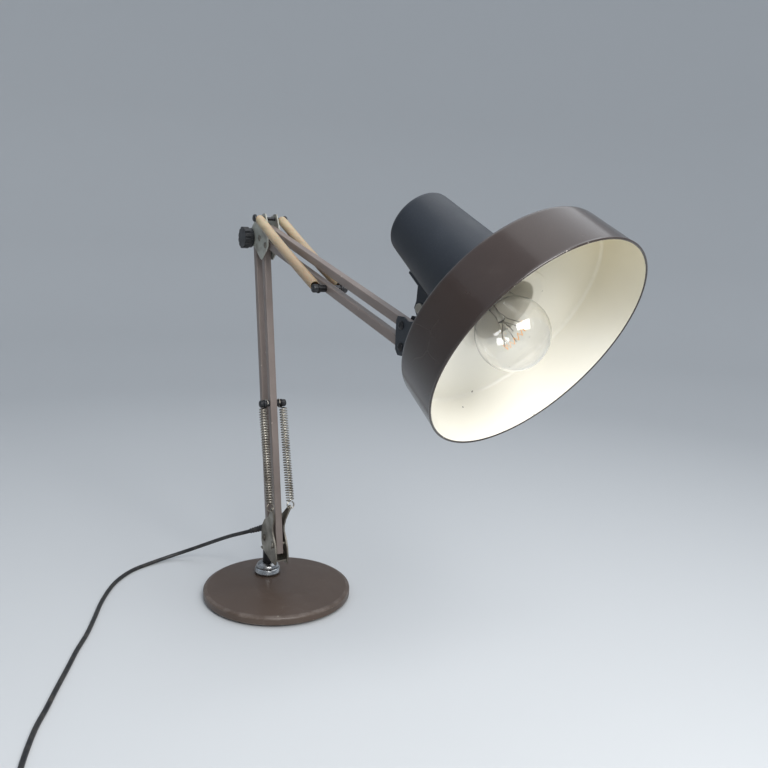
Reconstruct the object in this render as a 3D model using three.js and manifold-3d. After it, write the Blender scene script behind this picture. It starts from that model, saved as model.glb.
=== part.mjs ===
// Architect desk lamp: a round weighted base, a swivelling bracket, two parallelogram arms with
// balance springs, and a drum shade with a tapered rear cap. Millimetres, +Z up. The origin is the
// centre of the base's underside, the arms lie in the XZ plane and reach towards +X.
import * as THREE from "three";
import { mergeVertices } from "three/addons/utils/BufferGeometryUtils.js";
import Module from "manifold-3d";

const wasm = await Module();
wasm.setup();

// ---- Driving dimensions ----------------------------------------------------------------------
const GAP = 0.3; // between neighbouring pieces that don't run on each other
const RUNNING = 0.08; // radial clearance of a pin in the hole that it turns in
const FINE = 16; // sides of small round parts

const BASE_RADIUS = 95;
const BASE_RIM_TOP = 13.3;
const BASE_CROWN_TOP = 16.5;
const PAD_RADIUS = 89;
const PAD_TOP = 1.8;
const SOCKET_X = -35.3; // the arm's socket stands behind the middle of the base
const SHAFT_RADIUS = 6.5;

const BAR = 9.2; // square tube, outside
const BAR_WALL = 1;
const PIN_RADIUS = 2.5; // pivot pins
const LOWER_LEAN = THREE.MathUtils.degToRad(9.12); // the lower arm leans back
const LOWER_LENGTH = 396; // pivot to pivot
const LOWER_SPACING = 29.3; // between the two lower bars' pivots, level
const FRONT_FOOT = [2.3, 70]; // x, z of the front bar's lower pivot
const UPPER_DROP = THREE.MathUtils.degToRad(14.32); // the upper arm slopes down towards the head
const UPPER_LENGTH = 351;
const UPPER_SPACING = 19.4; // between the two upper bars' pivots, one above the other
const UPPER_ROOT = [-40, 471.4]; // x, z of the top bar's pivot in the elbow

const SPRING_RADIUS = 5.5;
const SPRING_Y = 13.8; // the lower springs' distance from the arm's middle plane
const SLEEVE_RADIUS = 5.85;
const SLEEVE_Y = 15;

const HEAD_TURN = THREE.MathUtils.degToRad(12.6); // the head is turned a little to +Y
const HEAD_TILT = THREE.MathUtils.degToRad(34.6); // and looks down by this angle
const HEAD_POST_X = 327; // the head's upright swivel stud
const TILT_PIVOT_Z = 402;
const SHADE_REACH = 85.6; // from the stud to the middle of the drum's back, level
const SHADE_BACK_Z = 407.3;
const DRUM_RIM_RADIUS = 101.5;
const DRUM_BACK_RADIUS = 97.3;
const DRUM_DEPTH = 47.2;
const SHEET = 0.8;
const CAP_BASE_RADIUS = 42;
const CAP_END_RADIUS = 30.5;
const CAP_LENGTH = 122;

const CORD_RADIUS = 2.6;
const COIL_CENTRE = [272, -371];
const COIL_TURN_SPACING = 5.3;
const COIL_MIDDLE_RADIUS = 30;

// ---- Materials -------------------------------------------------------------------------------
function finish(color, roughness, metalness) {
  return new THREE.MeshStandardMaterial({ color, roughness, metalness });
}
const brownPaint = finish(0x4b3f3a, 0.42, 0.1);
const zinc = finish(0x8d8a84, 0.45, 0.9);
const chrome = finish(0xb9bcc0, 0.18, 1);
const springSteel = finish(0xb5b1a6, 0.3, 1);
const blackPaint = finish(0x24272b, 0.5, 0.05);
const blackPlastic = finish(0x1c1e22, 0.5, 0);
const darkSteel = finish(0x2c2d31, 0.4, 0.8);
const greyPaint = finish(0x8d9089, 0.5, 0.1);
const nylon = finish(0xd8d5c8, 0.5, 0);
const yellowedPlastic = finish(0xcbb994, 0.45, 0);
const felt = finish(0x1b1a19, 0.95, 0);
const bakelite = finish(0x23201e, 0.35, 0);
const glass = finish(0xf2ead8, 0.05, 0);
const brass = finish(0xc9b98a, 0.3, 1);

// ---- Shape helpers ---------------------------------------------------------------------------
// A closed mesh as a solid that can be joined and cut.
function solid(geometry) {
  const bare = geometry.clone();
  bare.deleteAttribute("normal");
  bare.deleteAttribute("uv");
  const merged = mergeVertices(bare, 1e-4);
  const corners = [];
  const index = merged.index.array;
  for (let i = 0; i < index.length; i += 3) {
    const [a, b, c] = [index[i], index[i + 1], index[i + 2]];
    if (a !== b && b !== c && c !== a) corners.push(a, b, c);
  }
  const vertProperties = new Float32Array(merged.attributes.position.array);
  return new wasm.Manifold(new wasm.Mesh({ numProp: 3, vertProperties, triVerts: new Uint32Array(corners) }));
}

function geometryOf(manifold) {
  const mesh = manifold.getMesh();
  const geometry = new THREE.BufferGeometry();
  geometry.setAttribute("position", new THREE.BufferAttribute(new Float32Array(mesh.vertProperties), 3));
  geometry.setIndex(new THREE.BufferAttribute(new Uint32Array(mesh.triVerts), 1));
  return geometry;
}

function joined(...geometries) {
  return geometryOf(geometries.map(solid).reduce((whole, part) => whole.add(part)));
}

function cut(geometry, ...tools) {
  return geometryOf(tools.map(solid).reduce((rest, tool) => rest.subtract(tool), solid(geometry)));
}

function kept(geometry, tool) {
  return geometryOf(solid(geometry).intersect(solid(tool)));
}

// A turned body from a profile of [radius, height] points; its axis is Z, or Y where asked.
function turned(profile, sides = FINE, axis = "z") {
  const points = profile.map(([radius, height]) => new THREE.Vector2(radius, height));
  const geometry = new THREE.LatheGeometry(points, sides);
  return axis === "z" ? geometry.rotateX(Math.PI / 2) : geometry;
}

function rod(radius, from, to, sides = FINE, axis = "z") {
  return turned([[0, from], [radius, from], [radius, to], [0, to]], sides, axis);
}

function ring(inner, outer, from, to, sides = FINE, axis = "z") {
  const profile = [[inner, from], [outer, from], [outer, to], [inner, to], [inner, from]];
  return turned(profile, sides, axis);
}

function hexNut(bore, acrossCorners, from, to) {
  return cut(rod(acrossCorners / 2, from, to, 6), rod(bore, from - 1, to + 1));
}

// A straight round bar between two points.
function rodBetween(start, end, radiusStart, radiusEnd = radiusStart, sides = FINE) {
  const a = new THREE.Vector3(...start);
  const b = new THREE.Vector3(...end);
  const length = a.distanceTo(b);
  const geometry = turned([[0, 0], [radiusStart, 0], [radiusEnd, length], [0, length]], sides);
  const up = new THREE.Vector3(0, 0, 1);
  geometry.applyQuaternion(new THREE.Quaternion().setFromUnitVectors(up, b.clone().sub(a).normalize()));
  return geometry.translate(a.x, a.y, a.z);
}

function box(x0, x1, y0, y1, z0, z1) {
  const geometry = new THREE.BoxGeometry(x1 - x0, y1 - y0, z1 - z0);
  return geometry.translate((x0 + x1) / 2, (y0 + y1) / 2, (z0 + z1) / 2);
}

// A sheet piece cut from a flat outline of [x, z] points, standing between two Y planes.
function plate(outline, yFrom, yTo) {
  const shape = new THREE.Shape(outline.map(([x, z]) => new THREE.Vector2(x, z)));
  const geometry = new THREE.ExtrudeGeometry(shape, { depth: yTo - yFrom, bevelEnabled: false });
  return geometry.rotateX(Math.PI / 2).translate(0, yTo, 0);
}

// ---- Places worked out from the dimensions ---------------------------------------------------
const lowerDirection = [-Math.sin(LOWER_LEAN), Math.cos(LOWER_LEAN)];
const rearFoot = [FRONT_FOOT[0] - LOWER_SPACING, FRONT_FOOT[1]];
const frontTop = FRONT_FOOT.map((value, i) => value + LOWER_LENGTH * lowerDirection[i]);
const rearTop = rearFoot.map((value, i) => value + LOWER_LENGTH * lowerDirection[i]);
const upperDirection = [Math.cos(UPPER_DROP), -Math.sin(UPPER_DROP)];
const lowRoot = [UPPER_ROOT[0], UPPER_ROOT[1] - UPPER_SPACING];
const topEnd = UPPER_ROOT.map((value, i) => value + UPPER_LENGTH * upperDirection[i]);
const lowEnd = lowRoot.map((value, i) => value + UPPER_LENGTH * upperDirection[i]);

const lamp = new THREE.Group();
function add(name, geometry, material, parent = lamp) {
  const mesh = new THREE.Mesh(geometry, material);
  mesh.name = name;
  parent.add(mesh);
  return mesh;
}

// ---- Base ------------------------------------------------------------------------------------
const SOCKET_RADIUS = 11;
const bushRadius = SOCKET_RADIUS - GAP;
const NUT_POCKET = [12.5, 8.6];
const weightProfile = [
  [0, PAD_TOP + GAP],
  [BASE_RADIUS - 3, PAD_TOP + GAP],
  [BASE_RADIUS, 5],
  [BASE_RADIUS, BASE_RIM_TOP - 4],
  [BASE_RADIUS - 1.3, BASE_RIM_TOP - 1.3],
  [BASE_RADIUS - 4.5, BASE_RIM_TOP],
  [BASE_RADIUS * 0.7, BASE_RIM_TOP + 1.6],
  [BASE_RADIUS * 0.35, BASE_CROWN_TOP - 0.3],
  [0, BASE_CROWN_TOP],
];
const socketHole = rod(SOCKET_RADIUS, 0, 30, 24).translate(SOCKET_X, 0, 0);
const nutPocket = rod(NUT_POCKET[0], 0, NUT_POCKET[1], 24).translate(SOCKET_X, 0, 0);
add("base_weight", cut(turned(weightProfile, 48), socketHole, nutPocket), brownPaint);
add("base_pad", rod(PAD_RADIUS, 0, PAD_TOP, 40), felt);

const shaftHole = SHAFT_RADIUS + RUNNING;
const atSocket = new THREE.Group();
atSocket.position.x = SOCKET_X;
lamp.add(atSocket);
const BUSH_TOP = 17.4;
add("socket_bush", ring(shaftHole, bushRadius, NUT_POCKET[1] + GAP, BUSH_TOP, 24), zinc, atSocket);
const lowerRing = [
  [shaftHole + GAP, BUSH_TOP + GAP],
  [17.3, BUSH_TOP + GAP],
  [17.6, BUSH_TOP + 1.5],
  [16.2, BUSH_TOP + 6.4],
  [15, BUSH_TOP + 7.2],
  [shaftHole + GAP, BUSH_TOP + 7.2],
  [shaftHole + GAP, BUSH_TOP + GAP],
];
add("collar_ring", turned(lowerRing, 28), chrome, atSocket);
const domeFoot = BUSH_TOP + 7.2 + GAP;
const domeRing = [
  [shaftHole + GAP, domeFoot],
  [14.6, domeFoot],
  [14.9, domeFoot + 1.6],
  [13.6, domeFoot + 4.6],
  [10.4, domeFoot + 6.6],
  [shaftHole + GAP, domeFoot + 7],
  [shaftHole + GAP, domeFoot],
];
add("collar_dome", turned(domeRing, 28), chrome, atSocket);

// ---- Swivel bracket --------------------------------------------------------------------------
const WEB_BOTTOM = 50;
const WEB_TOP = 52;
const EAR_INNER = 7;
const EAR_OUTER = 9;
const shaftProfile = [
  [0, 3.2],
  [5, 3.2],
  [5, NUT_POCKET[1] - 0.2],
  [SHAFT_RADIUS, NUT_POCKET[1]],
  [SHAFT_RADIUS, WEB_BOTTOM - GAP],
  [0, WEB_BOTTOM - GAP],
];
add("swivel_shaft", turned(shaftProfile, 24), darkSteel, atSocket);
add("swivel_nut", hexNut(5 + GAP, 19.2, 3.4, 7.6), zinc, atSocket);
const screwHead = [
  [0, WEB_TOP + GAP],
  [4.4, WEB_TOP + GAP],
  [4.1, WEB_TOP + 2.4],
  [2.6, WEB_TOP + 3.2],
  [0, WEB_TOP + 3.2],
];
add("swivel_screw", turned(screwHead), zinc, atSocket);

// The bracket is one stamping: a web with a tongue over the shaft, two ears, and a cord tab.
const earOutline = [
  [-36.5, 64], [-34.5, 58.5], [-28, 52], [-20, WEB_BOTTOM], [2, 45.5], [13, 46], [15.5, 56], [13, 68],
  [8.8, 76], [1.2, 86], [0.6, 93], [5.5, 104], [-12, 104], [-27, 95], [-35, 84], [-37, 73],
];
const LUG_FOOT = 103.2;
const lugOutline = [
  [-12.6, LUG_FOOT], [5.4, LUG_FOOT], [8.5, 112], [11.6, 120.5], [8.2, 123], [4.2, 121], [-4, 111],
];
const FLARE = 0.24; // the lugs splay outwards, in mm per mm of height
const SPRING_HOOK = [7.4, 118.3];
function ear(side) {
  const [low, high] = side < 0 ? [-EAR_OUTER, -EAR_INNER] : [EAR_INNER, EAR_OUTER];
  const lug = plate(lugOutline, low, high);
  const position = lug.attributes.position;
  for (let i = 0; i < position.count; i += 1) {
    const rise = Math.max(0, position.getZ(i) - LUG_FOOT);
    position.setY(i, position.getY(i) + side * FLARE * rise);
  }
  return joined(plate(earOutline, low, high), lug);
}
const TAB_X = -42;
const CORD_EXIT_Z = 76;
const webPlate = box(-20, 13, -EAR_OUTER, EAR_OUTER, WEB_BOTTOM, WEB_TOP);
const tongue = box(TAB_X, -19, -EAR_INNER - 0.5, EAR_INNER + 0.5, WEB_BOTTOM, WEB_TOP);
const cordTab = box(TAB_X, TAB_X + 2, -5, 5, WEB_BOTTOM, CORD_EXIT_Z + 7);
const pivotHole = PIN_RADIUS + RUNNING;
function crossHole(x, z, radius, reach = 30) {
  return rod(radius, -reach, reach, FINE, "y").translate(x, 0, z);
}
const bracketCuts = [
  crossHole(...rearFoot, PIN_RADIUS + GAP),
  crossHole(...FRONT_FOOT, PIN_RADIUS + GAP),
  crossHole(...SPRING_HOOK, 1.6),
  rodBetween([TAB_X - 3, 0, CORD_EXIT_Z], [TAB_X + 5, 0, CORD_EXIT_Z], 3),
];
const stamping = joined(webPlate, tongue, cordTab, ear(-1), ear(1));
add("bracket", cut(stamping, ...bracketCuts), zinc);

// A riveted pivot: a plain shank with a low head at each end, outside the two cheeks.
function rivet([x, z], cheek, head = 2.2, headRadius = 4.6) {
  const face = cheek + GAP;
  const half = [
    [PIN_RADIUS, face],
    [headRadius, face],
    [headRadius, face + head * 0.55],
    [headRadius * 0.55, face + head],
    [0, face + head],
  ];
  const mirrored = half.map(([radius, y]) => [radius, -y]).reverse();
  return turned([...mirrored, ...half], FINE, "y").translate(x, 0, z);
}
add("bracket_pivot_rear", rivet(rearFoot, EAR_OUTER), zinc);
add("bracket_pivot_front", rivet(FRONT_FOOT, EAR_OUTER), zinc);

// ---- Lower arm -------------------------------------------------------------------------------
const barFace = BAR / 2;

// A square tube in the XZ plane from one pivot to the next, with plain drilled ends.
function bar(start, direction, length, before, after, holes) {
  const outside = box(-before, length + after, -barFace, barFace, -barFace, barFace);
  const bore = barFace - BAR_WALL;
  const inside = box(-before - 5, length + after + 5, -bore, bore, -bore, bore);
  const drilled = holes.map(([along, radius]) => crossHole(along, 0, radius));
  const angle = Math.atan2(direction[1], direction[0]);
  return cut(outside, inside, ...drilled).rotateY(-angle).translate(start[0], 0, start[1]);
}
const FOOT_LENGTH = 12;
const END_LENGTH = 6;
const LOWER_PIN_ALONG = 183.2;
const lowerPin = FRONT_FOOT.map((value, i) => value + LOWER_PIN_ALONG * lowerDirection[i]);
const pinHole = 2 + GAP;
const lowerEnds = [[0, pivotHole], [LOWER_LENGTH, pivotHole]];
const rearBar = bar(rearFoot, lowerDirection, LOWER_LENGTH, END_LENGTH + 2, END_LENGTH, lowerEnds);
add("lower_rear_bar", rearBar, brownPaint);
const frontHoles = [...lowerEnds, [LOWER_PIN_ALONG, pinHole]];
const frontBar = bar(FRONT_FOOT, lowerDirection, LOWER_LENGTH, FOOT_LENGTH, END_LENGTH, frontHoles);
add("lower_front_bar", frontBar, brownPaint);

// A spring pin: a rod through the bar, stepped up on each side to a hub and a flange, with end caps.
const SIDES = [["left", -1], ["right", 1]];
function mirroredProfile(half) {
  return [...half.map(([radius, y]) => [radius, -y]).reverse(), ...half];
}
function endCap(side, from, to) {
  const profile = [[0, from], [4.6, from], [4.6, to - 1.6], [3.2, to], [0, to]];
  const placed = side > 0 ? profile : profile.map(([radius, y]) => [radius, -y]).reverse();
  return turned(placed, FINE, "y");
}
function springPin(prefix, [x, z], hubEnd, capLength) {
  const flangeEnd = hubEnd + 1.9;
  const spindle = mirroredProfile([
    [2, barFace + GAP], [3.9, barFace + GAP], [3.9, hubEnd], [5.2, hubEnd], [5.2, flangeEnd], [0, flangeEnd],
  ]);
  add(`${prefix}_spindle`, turned(spindle, FINE, "y").translate(x, 0, z), darkSteel);
  for (const [name, side] of SIDES) {
    const cap = endCap(side, flangeEnd + GAP, flangeEnd + GAP + capLength);
    add(`${prefix}_cap_${name}`, cap.translate(x, 0, z), blackPlastic);
  }
}
springPin("lower_spring_pin", lowerPin, 10.6, 5);

// The balance springs stand beside the front bar, from the ears' lugs up to the pin.
const springAxis = new THREE.Vector2(lowerPin[0] - SPRING_HOOK[0], lowerPin[1] - SPRING_HOOK[1]).normalize();
function springBody(from, to, y, radius, inner) {
  const start = new THREE.Vector3(from[0], y, from[1]);
  const end = new THREE.Vector3(to[0], y, to[1]);
  const outer = rodBetween(start.toArray(), end.toArray(), radius, radius, 16);
  if (inner === 0) return outer;
  const reach = end.clone().sub(start).normalize().multiplyScalar(4);
  const boreStart = start.clone().sub(reach).toArray();
  const boreEnd = end.clone().add(reach).toArray();
  const bore = rodBetween(boreStart, boreEnd, inner, inner, 16);
  return cut(outer, bore);
}
const springLow = [SPRING_HOOK[0] + springAxis.x * 11.5, SPRING_HOOK[1] + springAxis.y * 11.5];
const springHigh = [lowerPin[0] - springAxis.x * 6.6, lowerPin[1] - springAxis.y * 6.6];
add("lower_spring_left", springBody(springLow, springHigh, -SPRING_Y, SPRING_RADIUS, 0), springSteel);
add("lower_spring_right", springBody(springLow, springHigh, SPRING_Y, SPRING_RADIUS, 0), springSteel);

// ---- Elbow -----------------------------------------------------------------------------------
const CHEEK_INNER = 6.6;
const CHEEK_OUTER = 8.2;
const ANCHOR = [-46, 485];
const cheekOutline = [
  [rearTop[0] - 8.4, rearTop[1] - 3], [rearTop[0] - 8.4, rearTop[1] + 5], [rearTop[0] - 3, rearTop[1] + 12],
  [-79, 483], [-50, 491.4], [-42, 491], [-37.5, 484], [-32.6, 473], [-32.4, 451], [-38, 444.5],
  [-53.5, 433.5], [-58, 435], [-79, 449], [rearTop[0] - 3, rearTop[1] - 8.6],
];
const elbowPins = [rearTop, frontTop, UPPER_ROOT, lowRoot];
function cheek(side) {
  const [low, high] = side < 0 ? [-CHEEK_OUTER, -CHEEK_INNER] : [CHEEK_INNER, CHEEK_OUTER];
  const holes = elbowPins.map((place) => crossHole(...place, PIN_RADIUS + GAP));
  return cut(plate(cheekOutline, low, high), ...holes, crossHole(...ANCHOR, pinHole));
}
add("elbow_cheek_left", cheek(-1), greyPaint);
add("elbow_cheek_right", cheek(1), greyPaint);
const STUD_END = 18.6;
const studFace = CHEEK_OUTER + GAP;
const studProfile = [
  [0, -STUD_END], [PIN_RADIUS, -STUD_END], [PIN_RADIUS, studFace], [4.6, studFace], [4.6, studFace + 1.4],
  [2.6, studFace + 2.3], [0, studFace + 2.3],
];
add("elbow_clamp_stud", turned(studProfile, FINE, "y").translate(rearTop[0], 0, rearTop[1]), zinc);
add("elbow_pivot_front", rivet(frontTop, CHEEK_OUTER, 1.8, 4), greyPaint);
add("elbow_pivot_top", rivet(UPPER_ROOT, CHEEK_OUTER, 1.2, 3.6), greyPaint);
add("elbow_pivot_low", rivet(lowRoot, CHEEK_OUTER, 1.2, 3.6), greyPaint);
const ANCHOR_END = 18.4;
add("anchor_rod", rod(2, -ANCHOR_END, ANCHOR_END, FINE, "y").translate(ANCHOR[0], 0, ANCHOR[1]), darkSteel);
for (const [name, side] of SIDES) {
  const cap = endCap(side, ANCHOR_END + GAP, ANCHOR_END + GAP + 3.6);
  add(`anchor_cap_${name}`, cap.translate(ANCHOR[0], 0, ANCHOR[1]), blackPlastic);
}

// The clamping knob: a fluted rim on a smaller hub, screwed on the rear stud.
const KNOB_INNER = CHEEK_OUTER + GAP + 0.4;
const FLUTES = 12;
const KNOB_RADIUS = 14;
const flutedOutline = [];
for (let i = 0; i < FLUTES * 4; i += 1) {
  const angle = (i / (FLUTES * 4)) * 2 * Math.PI;
  const radius = KNOB_RADIUS - (i % 4 === 0 ? 1.3 : 0);
  flutedOutline.push([radius * Math.cos(angle), radius * Math.sin(angle)]);
}
const knobBore = rod(PIN_RADIUS + GAP, -STUD_END - GAP, 0, FINE, "y");
const knobHub = rod(12.6, -KNOB_INNER - 5.4, -KNOB_INNER, 24, "y");
const knobRim = plate(flutedOutline, -KNOB_INNER - 12.6, -KNOB_INNER - 5);
const knob = cut(joined(knobHub, knobRim), knobBore);
add("elbow_knob", knob.translate(rearTop[0], 0, rearTop[1]), blackPlastic);

// ---- Upper arm -------------------------------------------------------------------------------
const upperEnds = [[0, pivotHole], [UPPER_LENGTH, pivotHole]];
const topBar = bar(UPPER_ROOT, upperDirection, UPPER_LENGTH, END_LENGTH, END_LENGTH, upperEnds);
add("upper_top_bar", topBar, brownPaint);
const SLEEVE_PIN_ALONG = 178.6;
const sleevePin = lowRoot.map((value, i) => value + SLEEVE_PIN_ALONG * upperDirection[i]);
const lowHoles = [...upperEnds, [SLEEVE_PIN_ALONG, pinHole]];
const lowBar = bar(lowRoot, upperDirection, UPPER_LENGTH, END_LENGTH, END_LENGTH, lowHoles);
add("upper_low_bar", lowBar, brownPaint);
springPin("sleeve_pin", sleevePin, 12.4, 6);

// The upper springs run inside plain plastic sleeves, from the anchor rod down to the pin.
const sleeveAxis = new THREE.Vector2(sleevePin[0] - ANCHOR[0], sleevePin[1] - ANCHOR[1]);
const sleeveRun = sleeveAxis.length();
sleeveAxis.normalize();
function alongSleeve(distance) {
  return [ANCHOR[0] + sleeveAxis.x * distance, ANCHOR[1] + sleeveAxis.y * distance];
}
const SLEEVE_BORE = 4.8;
const sleeveFrom = alongSleeve(3.2);
const sleeveTo = alongSleeve(sleeveRun - 6.4);
for (const [name, side] of SIDES) {
  const tube = springBody(sleeveFrom, sleeveTo, side * SLEEVE_Y, SLEEVE_RADIUS, SLEEVE_BORE);
  add(`sleeve_${name}`, cut(tube, crossHole(...ANCHOR, 4.8)), yellowedPlastic);
}

// ---- Head bracket ----------------------------------------------------------------------------
const TOP_PLATE = [387.3, 389.3];
const headOutline = [
  [topEnd[0] - 9.5, lowEnd[1] - 3], [topEnd[0] - 5, lowEnd[1] - 8], [topEnd[0] + 6, lowEnd[1] - 8],
  [HEAD_POST_X + 11, TOP_PLATE[0] - 9], [HEAD_POST_X + 11, TOP_PLATE[1]], [topEnd[0] + 11, TOP_PLATE[1]],
  [topEnd[0] + 4, topEnd[1] + 8], [topEnd[0] - 7, topEnd[1] + 8], [topEnd[0] - 9.5, topEnd[1] + 4],
];
const headCheeks = [-1, 1].map((side) => (
  side < 0 ? plate(headOutline, -CHEEK_OUTER, -CHEEK_INNER) : plate(headOutline, CHEEK_INNER, CHEEK_OUTER)
));
const topPlate = box(topEnd[0] + 12, HEAD_POST_X + 11, -CHEEK_OUTER, CHEEK_OUTER, ...TOP_PLATE);
const POST_RADIUS = 4;
const headHoles = [
  crossHole(...topEnd, PIN_RADIUS + GAP),
  crossHole(...lowEnd, PIN_RADIUS + GAP),
  rod(POST_RADIUS + RUNNING, 370, 400, 24).translate(HEAD_POST_X, 0, 0),
];
add("head_bracket", cut(joined(...headCheeks, topPlate), ...headHoles), blackPaint);
add("head_pivot_top", rivet(topEnd, CHEEK_OUTER, 1.8, 4), zinc);
add("head_pivot_low", rivet(lowEnd, CHEEK_OUTER, 1.8, 4), zinc);

// ---- Head yoke: it turns on its stud, and the shade tilts on its tongue ------------------------
const headFrame = new THREE.Group();
headFrame.position.set(HEAD_POST_X, 0, 0);
headFrame.rotation.z = HEAD_TURN;
lamp.add(headFrame);
const TONGUE = 4.6;
const SHOULDER = [TOP_PLATE[1] + 0.2, TOP_PLATE[1] + 3];
const post = rod(POST_RADIUS, TOP_PLATE[0] - 8, SHOULDER[0] + 1, 24);
const shoulder = rod(8, ...SHOULDER, 24);
const tongueOutline = [
  [-6, SHOULDER[0] + 1], [6, SHOULDER[0] + 1], [7, TILT_PIVOT_Z - 2], [7, TILT_PIVOT_Z + 2],
  [4, TILT_PIVOT_Z + 6.2], [-4, TILT_PIVOT_Z + 6.2], [-7, TILT_PIVOT_Z + 2], [-7, TILT_PIVOT_Z - 2],
];
const tongueBlock = plate(tongueOutline, -TONGUE, TONGUE);
const yoke = cut(joined(post, shoulder, tongueBlock), crossHole(0, TILT_PIVOT_Z, pivotHole, 12));
add("head_yoke", yoke, darkSteel, headFrame);
const nutTop = TOP_PLATE[0] - 0.2;
add("yoke_nut", hexNut(POST_RADIUS + GAP, 12.4, nutTop - 5, nutTop), zinc, headFrame);

// ---- Shade: its own frame has Z along the light and X towards the strap's side -----------------
const shade = new THREE.Group();
shade.position.set(SHADE_REACH, 0, SHADE_BACK_Z);
shade.rotation.y = Math.PI / 2 + HEAD_TILT;
headFrame.add(shade);

const OUTER_CORNER = 4;
function drumProfile() {
  const slope = (DRUM_RIM_RADIUS - DRUM_BACK_RADIUS) / (DRUM_DEPTH - OUTER_CORNER);
  const outside = [];
  const inside = [];
  const STEPS = 3;
  for (let i = 0; i <= STEPS; i += 1) {
    const angle = (i / STEPS) * (Math.PI / 2);
    const centre = [DRUM_BACK_RADIUS - OUTER_CORNER, OUTER_CORNER];
    outside.push([centre[0] + OUTER_CORNER * Math.sin(angle), centre[1] - OUTER_CORNER * Math.cos(angle)]);
    const small = OUTER_CORNER - SHEET;
    inside.push([centre[0] + small * Math.sin(angle), centre[1] - small * Math.cos(angle)]);
  }
  const rimOut = DRUM_BACK_RADIUS + slope * (DRUM_DEPTH - OUTER_CORNER);
  const HOLE = 37;
  return [
    [HOLE, 0], ...outside, [rimOut, DRUM_DEPTH], [rimOut - SHEET * 1.6, DRUM_DEPTH],
    ...inside.reverse(), [HOLE, SHEET], [HOLE, 0],
  ];
}
add("drum_shade", turned(drumProfile(), 48), brownPaint, shade);

const CAP_ROUND = 6;
function capRadius(behind) {
  return CAP_BASE_RADIUS - (CAP_BASE_RADIUS - CAP_END_RADIUS) * (behind / CAP_LENGTH);
}
const SWITCH_HOLE = 6.5;
const capWall = 0.8;
const capProfile = [
  [SWITCH_HOLE, -CAP_LENGTH],
  [CAP_END_RADIUS - CAP_ROUND, -CAP_LENGTH],
  [CAP_END_RADIUS - CAP_ROUND * 0.3, -CAP_LENGTH + CAP_ROUND * 0.3],
  [capRadius(CAP_LENGTH - CAP_ROUND), -CAP_LENGTH + CAP_ROUND],
  [CAP_BASE_RADIUS, -GAP],
  [CAP_BASE_RADIUS - capWall, -GAP],
  [capRadius(CAP_LENGTH - CAP_ROUND) - capWall, -CAP_LENGTH + CAP_ROUND],
  [CAP_END_RADIUS - CAP_ROUND * 0.3 - capWall * 0.8, -CAP_LENGTH + CAP_ROUND * 0.3 + capWall * 0.8],
  [CAP_END_RADIUS - CAP_ROUND, -CAP_LENGTH + capWall],
  [SWITCH_HOLE, -CAP_LENGTH + capWall],
  [SWITCH_HOLE, -CAP_LENGTH],
];
add("rear_cap", turned(capProfile, 36), blackPaint, shade);

// The strap: a saddle hugging the cap, with two ears that take the tilt bolt.
const toPivot = new THREE.Vector3(0, 0, TILT_PIVOT_Z).sub(shade.position);
toPivot.applyQuaternion(shade.quaternion.clone().invert());
const STRAP_FROM = 46;
const STRAP_TO = 88;
const strapThickness = 2;
const saddleRing = [
  [capRadius(STRAP_TO) + GAP, -STRAP_TO],
  [capRadius(STRAP_TO) + GAP + strapThickness, -STRAP_TO],
  [capRadius(STRAP_FROM) + GAP + strapThickness, -STRAP_FROM],
  [capRadius(STRAP_FROM) + GAP, -STRAP_FROM],
  [capRadius(STRAP_TO) + GAP, -STRAP_TO],
];
const saddle = kept(turned(saddleRing, 36), box(10, 60, -19, 19, -STRAP_TO - 1, -STRAP_FROM + 1));
const earInner = TONGUE + 0.5;
const earOuter = earInner + 2;
const seatRadius = capRadius((STRAP_FROM + STRAP_TO) / 2) + GAP + 1;
const strapEar = [
  [seatRadius - 0.6, -STRAP_TO + 4], [toPivot.x - 2, toPivot.z - 8], [toPivot.x + 4, toPivot.z - 6.6],
  [toPivot.x + 7.6, toPivot.z], [toPivot.x + 4, toPivot.z + 6.6], [toPivot.x - 2, toPivot.z + 8],
  [seatRadius + 0.6, -STRAP_FROM - 4],
];
const strapEars = [plate(strapEar, -earOuter, -earInner), plate(strapEar, earInner, earOuter)];
const strapHole = crossHole(toPivot.x, toPivot.z, PIN_RADIUS + GAP);
add("shade_strap", cut(joined(saddle, ...strapEars), strapHole), blackPaint, shade);
const boltFace = earOuter + GAP;
const TILT_BOLT_END = 17.5;
const tiltBolt = [
  [0, -boltFace - 2.6], [3.2, -boltFace - 2.6], [4.6, -boltFace - 1.6], [4.6, -boltFace],
  [PIN_RADIUS, -boltFace], [PIN_RADIUS, TILT_BOLT_END], [0, TILT_BOLT_END],
];
add("tilt_bolt", turned(tiltBolt, FINE, "y").translate(toPivot.x, 0, toPivot.z), zinc, shade);
const tiltKnob = ring(PIN_RADIUS + GAP, 9, boltFace + 0.4, boltFace + 9.4, 12, "y");
add("tilt_knob", tiltKnob.translate(toPivot.x, 0, toPivot.z), blackPlastic, shade);

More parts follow.
